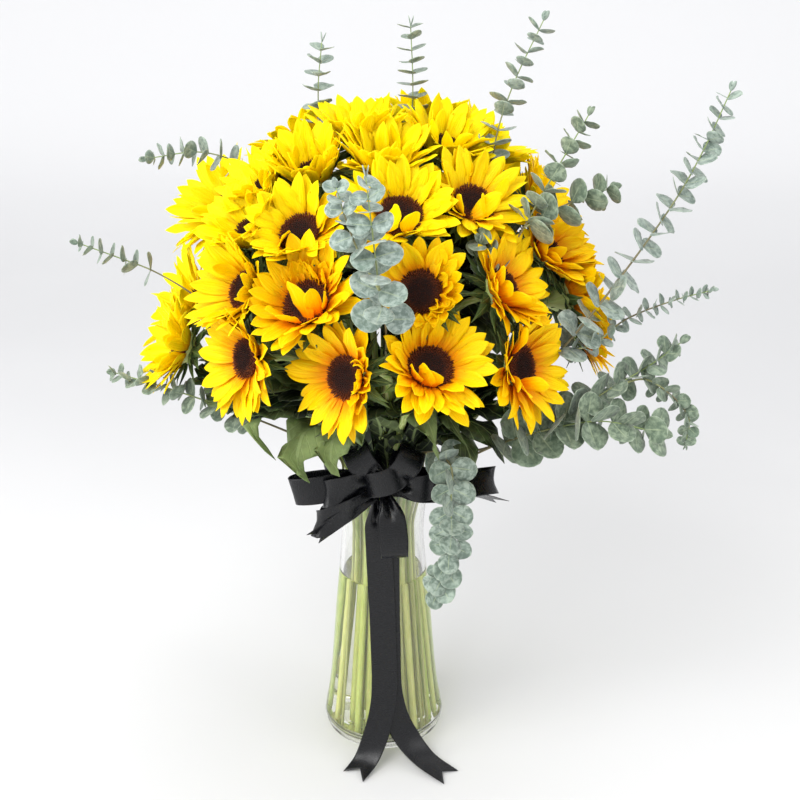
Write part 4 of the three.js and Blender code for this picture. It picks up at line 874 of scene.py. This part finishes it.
# Petals: up to three whorls of long blades, raised where another head is close. The whorls' rows are
# count, lift over the cup, length, root height, width, mean bend and its spread, and trough
PETAL_SHARES = [0, 0.1, 0.2, 0.325, 0.45, 0.575, 0.7, 0.8, 0.9, 0.95, 1]
PETAL_PROFILE = [0.38, 0.54, 0.72, 0.9, 0.99, 1.0, 0.93, 0.79, 0.51, 0.29, 0.02]
PETAL_COLUMNS = 7
FAR_PETAL_COLUMNS = 5
PETAL_THICKNESS = 0.45
WHORLS = [(18, -12, 1.24, -4.6, 1.0, -14, 10, 0.1), (17, 0, 1.18, -3.2, 0.97, -8, 13, 0.2),
          (7, 13, 0.95, -1.8, 0.85, 0, 20, 0.35)]
MORE_FRONT_PETALS = 4
CROWDING_DISTANCE = 125
TOUCHING_DISTANCE = 100
MOST_CROWD_LIFT = 66
MOST_LIFT = 70
LIFT_STEP = 7
LIFT_TRIES = 8
DISC_HALF_DEPTH = 9


def crowd_lift(bloom, radial, lift, length):
    """The lift that a petal needs where another head is close on its side."""
    for other in blooms:
        away = other.centre - bloom.centre
        distance = np.linalg.norm(away)
        if other is bloom or distance > CROWDING_DISTANCE:
            continue
        flat = away - np.dot(away, bloom.normal) * bloom.normal
        towards = max(float(np.dot(unit(flat), radial)), 0) ** 4
        room = (distance - bloom.disc - other.disc) * 0.66 / length
        needed = min(np.degrees(np.arccos(np.clip(room, 0.3, 1))), MOST_CROWD_LIFT)
        if needed > lift:
            lift += towards * (needed - lift)
    return lift


def enters_disc(bloom, root, radial, lift, length):
    """Whether a petal's outer half meets the disc of another head."""
    shares = np.array([0.45, 0.6, 0.75, 0.9, 1.0])[:, None]
    line = root + shares * length * bloom.lifted(radial, lift)["out"]
    for other in blooms:
        if other is bloom or np.linalg.norm(other.centre - bloom.centre) > TOUCHING_DISTANCE:
            continue
        radius, height = other.local(line)
        if ((radius < other.disc + 2) & (abs(height) < DISC_HALF_DEPTH)).any():
            return True
    return False


def petals_of(bloom):
    """Rows of one bloom's petals."""
    rows = []
    start = rng.uniform(0, 2 * np.pi)
    lean_turn, lean = bloom.look.get("lean", (90, 6))
    curl_turn, curl_reach = bloom.look.get("curled", (0, 0))
    for layer, (count, over, size, root_height, wide, bend, spread, trough) in enumerate(WHORLS):
        if layer == 2:
            count = bloom.look.get("inner", count)
        elif bloom.group.startswith("front"):
            count += MORE_FRONT_PETALS
        for k in range(count):
            turn = start + 2 * np.pi * (k + 0.37 * layer) / count + rng.normal(0, 0.07)
            radial = bloom.radial(turn)
            length = bloom.petal * bloom.look.get("reach", 1) * size * (1 + rng.normal(0, 0.06))
            lift = bloom.cup_now + over + lean * np.cos(turn - np.radians(lean_turn))
            lift += rng.normal(0, 6 if layer < 2 else 10)
            off_curl = abs((np.degrees(turn) - curl_turn + 180) % 360 - 180)
            curl = float(smooth((curl_reach - off_curl) / 20 + 0.5)) if curl_reach else 0.0
            length *= 1 - 0.3 * curl
            lift = crowd_lift(bloom, radial, lift + 14 * curl, length)
            root = bloom.point(turn, bloom.disc - 1.2 - 1.1 * layer, root_height)
            tries = 0
            while tries < LIFT_TRIES and enters_disc(bloom, root, radial, lift, length):
                lift = lift + LIFT_STEP if lift < MOST_LIFT else lift
                length *= 1 if lift < MOST_LIFT else 0.9
                tries += 1
            rows.append(dict(
                root=root, radial=radial, lift=lift, length=length,
                half=rng.uniform(5.8, 7.4) * wide * (0.6 + 0.4 * bloom.petal / 30) * (1 - 0.12 * curl),
                bend=bend + rng.normal(0, spread) + 30 * curl,
                twist=rng.normal(0, 14 + 8 * layer + 12 * curl), sway=rng.normal(0, 0.1),
                trough=trough + rng.normal(0, 0.16) + 0.3 * curl,
                ruffle=abs(rng.normal(0, 0.09)) + 0.05 + 0.22 * curl, phase=rng.uniform(0, 6.28),
                seed=rng.uniform(0, 1)))
    for turn, aim, lift, length, half in bloom.look.get("folds", []):
        turn = np.radians(turn) + rng.normal(0, 0.04)
        rows.append(dict(
            root=bloom.point(turn, bloom.disc - 0.5, -0.5), radial=bloom.radial(np.radians(aim)), lift=lift,
            length=length, half=half, bend=rng.normal(-6, 8), twist=rng.normal(0, 18),
            sway=rng.normal(0, 0.08), trough=0.2, ruffle=0.12, phase=rng.uniform(0, 6.28),
            seed=rng.uniform(0, 1)))
    return rows


def add_petals(heap, bloom):
    rows = petals_of(bloom)
    for row in rows:
        row.update(bloom.lifted(row.pop("radial"), row.pop("lift")))
    columns = FAR_PETAL_COLUMNS if bloom.group in ("top", "back") else PETAL_COLUMNS
    grids = blades_of(rows, PETAL_PROFILE, PETAL_SHARES, columns, bend_power=1.6, waves=2.2, groove=0.28)
    points, quads = closed_grids(grids, PETAL_THICKNESS)
    gold = np.clip(bloom.gold + rng.normal(0, 0.07, len(rows)), 0, 1.6)
    heap.add(points, quads, gold=np.repeat(gold, 2 * len(PETAL_SHARES) * columns),
             blade=blade_values(PETAL_SHARES, columns, [row["seed"] for row in rows]))


# Discs: a low dished dome covered with florets on a golden-angle spiral, and a fringe at the rim
FLORETS = 270
FRINGE = 60
BUD_POINTS = 9
DISC_SEGMENTS = 28
DISC_PROFILE = [[0.9, -3.4], [1.0, -1.6], [0.97, 0.4], [0.86, 1.7], [0.66, 2.2], [0.45, 1.7], [0.2, 1.1]]


def disc_height(share):
    table = np.array(DISC_PROFILE[2:][::-1])
    return np.interp(share, table[:, 0], table[:, 1])


def add_spikes(heap, base, ahead, size, width, place, tint):
    """Small closed four-sided buds."""
    side = unit(np.cross(ahead, np.where(np.abs(ahead[:, 2:3]) < 0.9, UP, [1.0, 0.0, 0.0])))
    other = np.cross(ahead, side)
    points = []
    for along, wide in ((-0.15, 0.55), (0.55, 1.0)):
        for k in range(4):
            turn = np.pi / 2 * k
            points.append(base + ahead * (size * along)[:, None]
                          + (side * np.cos(turn) + other * np.sin(turn)) * (width * wide)[:, None])
    points.append(base + ahead * size[:, None])
    points = np.stack(points, axis=1)
    quads = [[k, (k + 1) % 4, 4 + (k + 1) % 4, 4 + k] for k in range(4)] + [[3, 2, 1, 0]]
    tips = [[4 + k, 4 + (k + 1) % 4, 8] for k in range(4)]
    step = np.arange(len(base))[:, None, None] * BUD_POINTS
    tip = np.tile([0.0] * 4 + [0.55] * 4 + [1.0], len(base))
    heap.add(points, np.array(quads)[None] + step, np.array(tips)[None] + step,
             floret=np.column_stack([np.repeat(place, BUD_POINTS), tip, np.repeat(tint, BUD_POINTS)]))


def add_disc(heap, bloom):
    profile = [[radius * bloom.disc, height] for radius, height in DISC_PROFILE]
    points, quads, triangles = lathe(profile, DISC_SEGMENTS)
    radius = np.hypot(points[:, 0], points[:, 1]) / bloom.disc
    heap.add(bloom.placed(points), quads, triangles,
             floret=np.column_stack([radius, np.zeros_like(radius), np.full_like(radius, 0.2)]))
    k = np.arange(FLORETS)
    share = np.sqrt((k + 0.5) / FLORETS)
    radial = bloom.radial(np.radians(GOLDEN_ANGLE) * k + rng.uniform(0, 6))
    outer = smooth((share - 0.55) / 0.4)
    lean = np.radians(8 + 24 * outer + rng.normal(0, 7, FLORETS))[:, None]
    ahead = unit(np.cos(lean) * bloom.normal + np.sin(lean) * radial + rng.normal(0, 0.06, (FLORETS, 3)))
    base = bloom.centre + radial * (share * bloom.disc * 0.97)[:, None]
    base += disc_height(share)[:, None] * bloom.normal
    size = (1.3 + 1.9 * outer) * rng.uniform(0.8, 1.25, FLORETS)
    width = bloom.disc / np.sqrt(FLORETS) * (0.62 + 0.1 * outer)
    add_spikes(heap, base, ahead, size, width, share, rng.uniform(0, 1, FLORETS) * (0.35 + 0.65 * outer))
    radial = bloom.radial(2 * np.pi * (np.arange(FRINGE) + rng.uniform(-0.3, 0.3, FRINGE)) / FRINGE)
    lean = np.radians(rng.uniform(25, 68, FRINGE))[:, None]
    ahead = np.cos(lean) * bloom.normal + np.sin(lean) * radial
    reach = bloom.disc * rng.uniform(0.88, 1.0, FRINGE)
    base = bloom.centre + radial * reach[:, None] + 0.2 * bloom.normal
    add_spikes(heap, base, ahead, rng.uniform(3.0, 4.8, FRINGE), np.full(FRINGE, 0.62), np.ones(FRINGE),
               rng.uniform(0.5, 1, FRINGE))


# Stems, calyx cups and bracts behind each head; the bracts' layers are rows of lift and length
BRACT_SHARES = [0, 0.15, 0.35, 0.6, 0.8, 1]
BRACT_PROFILE = [0.8, 1.0, 0.92, 0.52, 0.22, 0.02]
BRACT_COLUMNS = 3
BRACT_THICKNESS = 0.5
BRACT_COUNT = 11
BRACT_LAYERS = [(-4, 27), (14, 24)]
STEM_ROWS = 34
STEM_SIDES = 9
TWIG_SIDES = 6
CUP_SEGMENTS = 18


def add_tube(heap, points, radii, sides):
    """A stem or twig with a seed of its own."""
    vertices, quads, caps = tube(points, radii, sides)
    along = np.concatenate([np.repeat(np.linspace(0, 1, len(points)), sides), [0, 1]])
    turn = np.concatenate([np.tile(np.arange(sides) / sides, len(points)), [0, 0]])
    seed = np.full(len(along), rng.uniform(0, 10))
    heap.add(vertices, quads, caps, stem=np.column_stack([along, turn, seed]))


def add_stem(heap, bloom, place):
    neck = [bloom.point(0, 0, CALYX_DEPTH - NECK_LENGTH), bloom.point(0, 0, CALYX_DEPTH)]
    line = even_route([*lower_route(place), *neck], STEM_ROWS)
    add_tube(heap, line, STEM_RADIUS * rng.uniform(0.9, 1.05), STEM_SIDES)
    cup = [[3.2, -24], [5.5, -19], [9.5, -14.5], [bloom.disc * 0.85, -9.5], [bloom.disc * 0.98, -5],
           [bloom.disc * 0.9, -3.2]]
    points, quads, triangles = lathe(cup, CUP_SEGMENTS)
    turn = np.arctan2(points[:, 1], points[:, 0]) / FULL_TURN
    heap.add(bloom.placed(points), quads, triangles,
             stem=np.column_stack([np.full(len(points), 0.9), turn, np.zeros(len(points))]))


def add_bracts(heap, bloom):
    rows = []
    for layer, (lift, size) in enumerate(BRACT_LAYERS):
        for k in range(BRACT_COUNT):
            turn = 2 * np.pi * (k + 0.5 * layer) / BRACT_COUNT + rng.normal(0, 0.1)
            up = min(lift + rng.normal(0, 9), bloom.cup_now - 20)
            rows.append(dict(
                root=bloom.point(turn, bloom.disc * 0.82, -9 + 2.5 * layer),
                length=size * rng.uniform(0.85, 1.15), half=rng.uniform(4.4, 5.8), bend=rng.normal(-8, 22),
                **bloom.lifted(bloom.radial(turn), up)))
    grids = blades_of(rows, BRACT_PROFILE, BRACT_SHARES, BRACT_COLUMNS, trough=-0.3)
    points, quads = closed_grids(grids, BRACT_THICKNESS)
    seeds = rng.uniform(-0.6, 0.6, len(rows))
    heap.add(points, quads, blade=blade_values(BRACT_SHARES, BRACT_COLUMNS, seeds))


# Large leaves: a pointed blade along a route, with a raised fold and wavy sides
LEAF_SHARES = np.linspace(0, 1, 12)
LEAF_COLUMNS = 7
LEAF_PROFILE = np.interp(LEAF_SHARES, [0, 0.06, 0.15, 0.28, 0.42, 0.6, 0.78, 0.9, 1],
                         [0.1, 0.42, 0.8, 1.0, 1.0, 0.88, 0.62, 0.34, 0.01])
LEAF_THICKNESS = 0.6


def leaf_grid(route, half, fold, sag, ruffle):
    """Grid of a leaf along its midrib route; fold raises its sides and sag lets their rims drop."""
    line = even_route(route, len(LEAF_SHARES))
    ahead = tangents(line)
    side = np.cross(UP, ahead)
    side = unit(np.where(np.linalg.norm(side, axis=1, keepdims=True) < 0.15, side[:1], side))
    face = np.cross(ahead, side)
    v = np.linspace(-1, 1, LEAF_COLUMNS)[None]
    width = (half * LEAF_PROFILE)[:, None]
    wave = np.sin(2 * np.pi * 3.3 * LEAF_SHARES[:, None] + rng.uniform(0, 6) + 2 * np.sign(v))
    crease = np.sin(2 * np.pi * 2.3 * LEAF_SHARES[:, None] + 4 * v)
    lift = width * (fold * np.abs(v) - sag * v ** 2 + ruffle * (v ** 2 * wave + 0.4 * crease))
    return line[:, None] + side[:, None] * (width * v)[..., None] + face[:, None] * lift[..., None]


def add_leaf(heap, grid, light):
    points, quads = closed_grids(grid[None], LEAF_THICKNESS)
    # The seed is the leaf's lightness: painted light and shade for where it lies, random for the filling
    # leaves
    heap.add(points, quads, blade=blade_values(LEAF_SHARES, LEAF_COLUMNS, [light]))


# Filling leaves keep over this height, which rises towards the front to leave the bow open
LOWEST_LEAF = 350
FRONT_RISE = 0.42
# Inside this radius a leaf needs no test; beyond it, it stays out of the cup that a head's petals make
SAFE_RADIUS = 150
CUP_BOTTOM = -12
CUP_TOP = 60
CUP_SLACK = 14
TRIES_PER_LEAF = 8
# Rows of count, inner and outer radius, share of the way that leads outwards, and half widths
FILLING_LEAVES = [(150, (112, 168), 1.0, (14, 22)), (120, (72, 126), 0.4, (20, 30)),
                  (70, (84, 140), 0.7, (18, 26))]
COLLAR_LEAVES = 30


def is_under_blooms(points):
    """Whether points stay behind every head's petals."""
    for bloom in blooms:
        radius, height = bloom.local(points)
        slope = np.tan(np.radians(bloom.cup - CUP_SLACK))
        surface = CUP_BOTTOM + np.maximum(radius - bloom.disc, 0) * slope
        if ((radius < bloom.disc + bloom.petal * 0.95) & (height > surface) & (height < CUP_TOP)).any():
            return False
    return True


def add_filling_leaves(heap, wanted, reach, share_up, widths):
    """Leaves between the heads, kept behind the petals, spread over the dome by the golden angle."""
    hub = np.array([0, 0, DOME_CENTRE_HEIGHT])
    stretch = np.array([1, 1, DOME_RISE / DOME_RADIUS])
    made = 0
    for k in range(wanted * TRIES_PER_LEAF):
        if made == wanted:
            break
        elevation = np.degrees(np.arcsin(np.clip(-0.3 + 1.2 * ((k * GOLDEN_SHARE) % 1), -1, 1)))
        out = direction(GOLDEN_ANGLE * k, elevation)
        side = unit(np.cross(UP, out) + rng.normal(0, 0.4, 3))
        inner, outer = reach[0] + rng.uniform(-8, 8), reach[1] + rng.uniform(-14, 14)
        root = hub + out * inner * stretch
        way = out * share_up + side * rng.choice([-1, 1]) * rng.uniform(0.3, 1)
        way = unit(way + UP * rng.uniform(-0.5, 0.3))
        end = root + way * (outer - inner) / max(share_up, 0.5)
        middle = (root + end) / 2 + out * rng.uniform(6, 14)
        bend = end * 0.7 + middle * 0.3 + out * 5
        grid = leaf_grid([root, middle, bend, end], rng.uniform(*widths), 0.2, 0.3, 0.1)
        inward = np.linalg.norm((grid - hub) / stretch, axis=-1).max() < SAFE_RADIUS
        lowest = LOWEST_LEAF + FRONT_RISE * np.maximum(-20 - grid[..., 1], 0)
        if (grid[..., 2] > lowest).all() and (inward or is_under_blooms(grid.reshape(-1, 3))):
            add_leaf(heap, grid, rng.uniform(-1.0, 0.7))
            made += 1


def add_collar(heap):
    """Leaves that rise round the stems under the lowest heads, painted dark as the shade there."""
    for k in range(COLLAR_LEAVES):
        azimuth = 360 / COLLAR_LEAVES * k + rng.uniform(-7, 7)
        layer = k % 3
        out, side = direction(azimuth, 0), direction(azimuth + 90, 0)
        front = 12 * max(0, np.cos(np.radians(azimuth))) ** 2
        rises = [(50, 320 + 5 * layer), (78, 346 + 6 * layer), (104, 374 + 6 * layer),
                 (122 + 4 * layer, 388 + 7 * layer)]
        drift = rng.uniform(-16, 16)
        route = [out * (radius - 0.3 * front) + side * drift * share ** 2
                 + UP * (height + front + rng.uniform(-3, 3))
                 for (radius, height), share in zip(rises, (0, 0.4, 0.7, 1))]
        half, light = rng.uniform(20, 26), rng.uniform(-0.6, 0.1)
        add_leaf(heap, leaf_grid(route, half, 0.15, 0.3, 0.12), light)


# Eucalyptus leaves, in pairs along each branch, and two small ones at its tip
ROUND_SHARES = [0, 0.05, 0.15, 0.325, 0.5, 0.675, 0.85, 0.95, 1]
ROUND_PROFILE = [0.16, 0.36, 0.68, 0.94, 1.0, 0.92, 0.66, 0.38, 0.05]
ROUND_COLUMNS = 5
ROUND_THICKNESS = 0.4


def round_leaf(centre, out, ahead, size, facing):
    """One leaf of a pair, with its face partly turned outwards and up."""
    away = np.array([0.5 * centre[0], centre[1] - 140, 0]) / 200 + 0.55 * UP
    turned = unit(away - out * np.dot(away, out))
    plain = np.cross(out, unit(np.cross(ahead, out)))
    face = unit(plain * (1 - facing) + turned * facing * rng.uniform(0.6, 1.3))
    return dict(root=centre, out=out, face=unit(face - out * np.dot(face, out)),
                length=1.95 * size * rng.uniform(0.86, 1.0), half=0.98 * size * rng.uniform(0.9, 1.05),
                bend=rng.normal(10, 12), trough=rng.normal(0.1, 0.1), ruffle=abs(rng.normal(0, 0.05)),
                phase=rng.uniform(0, 6), seed=rng.uniform(0, 1))


def add_spray(leaves, twigs, name):
    tone, facing, first_turn, pitch, lean, branches = SPRAYS[name][1:]
    rows = []
    for number, (route, bare, root_size, tip_size) in enumerate(branches):
        line = smooth_route([*spray_lower[name], *route] if number == 0 else route)
        run = route_lengths(line)
        shares, radii = ([0, 0.6, 1], [1.5, 1.2, 0.45]) if number == 0 else ([0, 1], [1.0, 0.4])
        add_tube(twigs, line[::2], np.interp(run / run[-1], shares, radii)[::2], TWIG_SIDES)
        line = smooth_route(route[bare:])
        length = route_lengths(line)[-1]
        where, turn = root_size * 0.4, first_turn
        while where < length:
            share = where / length
            size = root_size + (tip_size - root_size) * share ** 1.3
            before, centre, after = at_lengths(line, [max(where - 1, 0), where, min(where + 1, length)])
            ahead = unit(after - before)
            side = np.cross(UP, ahead)
            side = unit(side) if np.linalg.norm(side) > 0.2 else np.array([1.0, 0, 0])
            for way in (0, 180):
                out = spun(side, ahead, turn + way + rng.normal(0, 7))
                fold = np.radians(lean + 10 * share + rng.normal(0, 8))
                out = unit(out * np.cos(fold) + ahead * np.sin(fold))
                rows.append(round_leaf(centre, out, ahead, size, facing))
            turn += 90 + rng.uniform(-14, 14)
            where += size * pitch * rng.uniform(0.9, 1.1)
        for reach in (-0.25, 0.25):
            out = unit(ahead + side * reach)
            rows.append(dict(root=line[-1], out=out, face=unit(np.cross(np.cross(out, side), out)),
                             length=tip_size * 1.3, half=tip_size * 0.42, bend=12.0, trough=0.3, ruffle=0.0,
                             phase=0.0, seed=0.1))
    grids = blades_of(rows, ROUND_PROFILE, ROUND_SHARES, ROUND_COLUMNS, waves=1.5)
    points, quads = closed_grids(grids, ROUND_THICKNESS)
    leaves.add(points, quads, tone=np.full(len(points), tone),
               blade=blade_values(ROUND_SHARES, ROUND_COLUMNS, [row["seed"] for row in rows]))


# Ribbon strips: the width folds into pleats where the knot gathers it, so the cloth keeps its size
STRIP_COLUMNS = 19
PLEATS = 1.5
DEEPEST_PLEAT = 14.0
HALVINGS = 40
ROW_LENGTH = 3


def pleat(share):
    """Places across and out of the plane of a cross-section squeezed to a share of the ribbon's width.

    The depth of its waves is found by halving, so that the cloth across it keeps its width."""
    t = np.linspace(0, 1, 300)
    x = RIBBON_WIDTH * share * (t - 0.5)
    low, high = 0.0, DEEPEST_PLEAT
    for _ in range(HALVINGS):
        depth = (low + high) / 2
        z = depth * np.sin(2 * np.pi * PLEATS * t)
        arc = route_lengths(np.column_stack([x, z]))
        low, high = (depth, high) if arc[-1] < RIBBON_WIDTH else (low, depth)
    wanted = np.linspace(0, arc[-1], STRIP_COLUMNS)
    return np.interp(wanted, arc, x), np.interp(wanted, arc, z)


def ribbon_strip(name, across, route, replaces, notched=False, held="folded", gather=0.4, ease=30):
    """A satin strip along a route, gathered at its root and, unless notched, at its tip too."""
    dense = smooth_route(route)
    run = route_lengths(dense)
    length = run[-1]
    where = np.linspace(0, length, max(int(length / ROW_LENGTH), 12))
    columns = np.linspace(-1, 1, STRIP_COLUMNS)
    turns = np.broadcast_to(np.array(across, float), (len(route), 3))
    spans = np.linspace(0, len(route) - 1, len(dense))
    ways = np.stack([np.interp(spans, np.arange(len(route)), turns[:, k]) for k in range(3)], axis=1)

    def at(table, here):
        return np.stack([np.interp(here, run, table[:, k]) for k in range(3)], axis=-1)

    points = []
    for here in where:
        from_knot = here if notched else min(here, length - here)
        x, z = pleat(gather + (1 - gather) * smooth(from_knot / ease))
        cut = NOTCH_DEPTH * (1 - np.abs(columns)) * (here / length) ** 10 if notched else 0 * columns
        way = unit(at(ways, here))
        ahead = unit(at(dense, min(here + 2, length)) - at(dense, max(here - 2, 0)))
        way = unit(way - ahead * np.dot(way, ahead))
        points.append(at(dense, here - cut) + x[:, None] * way + z[:, None] * np.cross(ahead, way))
    vertices, quads = closed_grids(np.array(points)[None], RIBBON_THICKNESS, keep=1.0)
    along, side = np.meshgrid(where, columns * RIBBON_WIDTH / 2, indexing="ij")
    weave = np.column_stack([side.ravel(), along.ravel(), np.full(along.size, rng.uniform(0, 50))])
    heap = Heap()
    heap.add(vertices, quads, weave=np.vstack([weave, weave]))
    piece = heap.piece(name, SATIN, replaces, "satin")


# Petals, discs and greens, group by group
stem_heap, bract_heap, leaf_heap = Heap(), Heap(), Heap()
for group in BLOOMS:
    petal_heap, disc_heap = Heap(), Heap()
    numbers = [number for number, bloom in enumerate(blooms) if bloom.group == group]
    for number in numbers:
        add_petals(petal_heap, blooms[number])
        add_disc(disc_heap, blooms[number])
        add_stem(stem_heap, blooms[number], places[number])
        add_bracts(bract_heap, blooms[number])
    petal_heap.piece(f"flower_petals_{group}", PETAL, [f"petals_{group}"], "petal")
    disc_heap.piece(f"flower_discs_{group}", DISC, [f"disc_{number + 1:02d}" for number in numbers], "disc")
for *route, half, light, ruffle in FRONT_LEAVES:
    add_leaf(leaf_heap, leaf_grid(route, half, 0.3, 0.5, ruffle), light)
for row in FILLING_LEAVES:
    add_filling_leaves(leaf_heap, *row)
add_collar(leaf_heap)
stem_heap.piece("flower_stems", STEM, ["sunflower_stems"], "green")
bract_heap.piece("flower_bracts", BRACT, ["sunflower_stems"], "green")
leaf_heap.piece("flower_leaves", LEAF, ["sunflower_stems"], "green")

for name in SPRAYS:
    spray_leaves, spray_twigs = Heap(), Heap()
    add_spray(spray_leaves, spray_twigs, name)
    spray_leaves.piece(f"spray_leaves_{name}", EUCALYPTUS, [f"eucalyptus_{name}"], "eucalyptus")
    spray_twigs.piece(f"spray_twigs_{name}", TWIG, [f"eucalyptus_{name}"], "eucalyptus")

# Bow, band, knot and tails
for name, strip in BOW_LOOPS.items():
    ribbon_strip(f"bow_loop_{name}", *strip, ["ribbon_bow"])
for name, strip in BOW_ENDS.items():
    ribbon_strip(f"bow_end_{name}", *strip, ["ribbon_bow"], notched=True)
ring = [[BAND_RADIUS * np.sin(a), -BAND_RADIUS * np.cos(a), BAND_HEIGHT + BAND_WAVE * np.sin(3 * a)]
        for a in np.radians(np.arange(0, 360, 15))]
ribbon_strip("bow_band", [0, 0, 1], [*ring, ring[0]], ["ribbon_bow"], gather=0.5, ease=400)
ribbon_strip("bow_knot", *KNOT, ["ribbon_bow"], gather=0.8, ease=16)
for name, strip in TAILS.items():
    ribbon_strip(f"ribbon_tail_{name}_cloth", *strip, [f"ribbon_tail_{name}"], notched=True, held="hung")


# Vase, and water that reaches a little way into the glass and curls up at its edge
def smooth_profile(rows, per_span):
    return smooth_route([[radius, 0, height] for radius, height in rows], per_span)[:, [0, 2]]


def add_turned(name, profile, material, node, slot):
    heap = Heap()
    heap.add(*lathe(profile, VASE_SEGMENTS))
    heap.piece(name, material, [node], slot)


outer = smooth_profile(VASE_OUTER[2:], 8)
inner = smooth_profile(VASE_INNER[:-1], 8)
base = smooth_profile(VASE_OUTER[:3], 6)[:-1]
floor_edge = smooth_profile([*VASE_INNER[-2:], [FLOOR_RADIUS, GLASS_FLOOR]], 6)[1:]
add_turned("glass_vase", [[FLOOR_RADIUS, UNDERSIDE_RISE], *base, *outer, *VASE_RIM, *inner, *floor_edge],
           GLASS, "vase", "glass")
walls = np.vstack([inner, floor_edge])
walls = walls[np.argsort(walls[:, 1])]
levels = [GLASS_FLOOR - 0.2, 9, 11, 14, 20, 32, *range(50, WATER_LEVEL, 16), WATER_LEVEL - 1]
profile = [[np.interp(level, walls[:, 1], walls[:, 0]) + WATER_OVERLAP, level] for level in levels]
edge = profile[-1][0]
profile += [[edge, WATER_LEVEL + 1.2], [edge - 1.2, WATER_LEVEL + 0.3], [edge - 3, WATER_LEVEL]]
add_turned("clear_water", profile, WATER, "water", "water")


# Floor, backdrop, lights and camera
def backdrop():
    """A pale floor that curves up into the wall."""
    front, bend, radius, top, half_width = -4.0, 2.2, 1.6, 7.0, 8.0
    turn = np.radians(np.linspace(0, 90, 19))
    curve = zip(bend + radius * np.sin(turn), radius * (1 - np.cos(turn)))
    line = [(front, 0.0), *curve, (bend + radius, top)]
    points = [(side, y, z) for y, z in line for side in (-half_width, half_width)]
    faces = [(2 * k, 2 * k + 1, 2 * k + 3, 2 * k + 2) for k in range(len(line) - 1)]
    made = mesh_object("stage_backdrop", points, faces, stage_material())


def softbox(name, place, aimed_height, size, power):
    light = bpy.data.lights.new(name, "AREA")
    light.shape = "RECTANGLE"
    light.size, light.size_y = size
    light.energy = power
    made = bpy.data.objects.new(name, light)
    made.location = place
    way = Vector((0, 0, aimed_height)) - Vector(place)
    made.rotation_euler = way.to_track_quat("-Z", "Y").to_euler()
    bpy.context.scene.collection.objects.link(made)


backdrop()
for name, row in LIGHTS.items():
    softbox(f"softbox_{name}", *row)

scene = bpy.context.scene
world = bpy.data.worlds.new("studio")
scene.world = world
world.use_nodes = True
sky = world.node_tree.nodes["Background"]
sky.inputs["Color"].default_value = SKY_COLOUR
sky.inputs["Strength"].default_value = 1.0

camera_data = bpy.data.cameras.new("camera")
camera_data.lens = LENS
camera_data.sensor_width = SENSOR
camera = bpy.data.objects.new("camera", camera_data)
camera.location = CAMERA_PLACE
camera.rotation_euler = Euler(np.radians(CAMERA_TURN).tolist())
scene.collection.objects.link(camera)
scene.camera = camera
scene.view_settings.view_transform = "Standard"
scene.cycles.transmission_bounces = 16
scene.cycles.max_bounces = 16
scene.cycles.transparent_max_bounces = 24
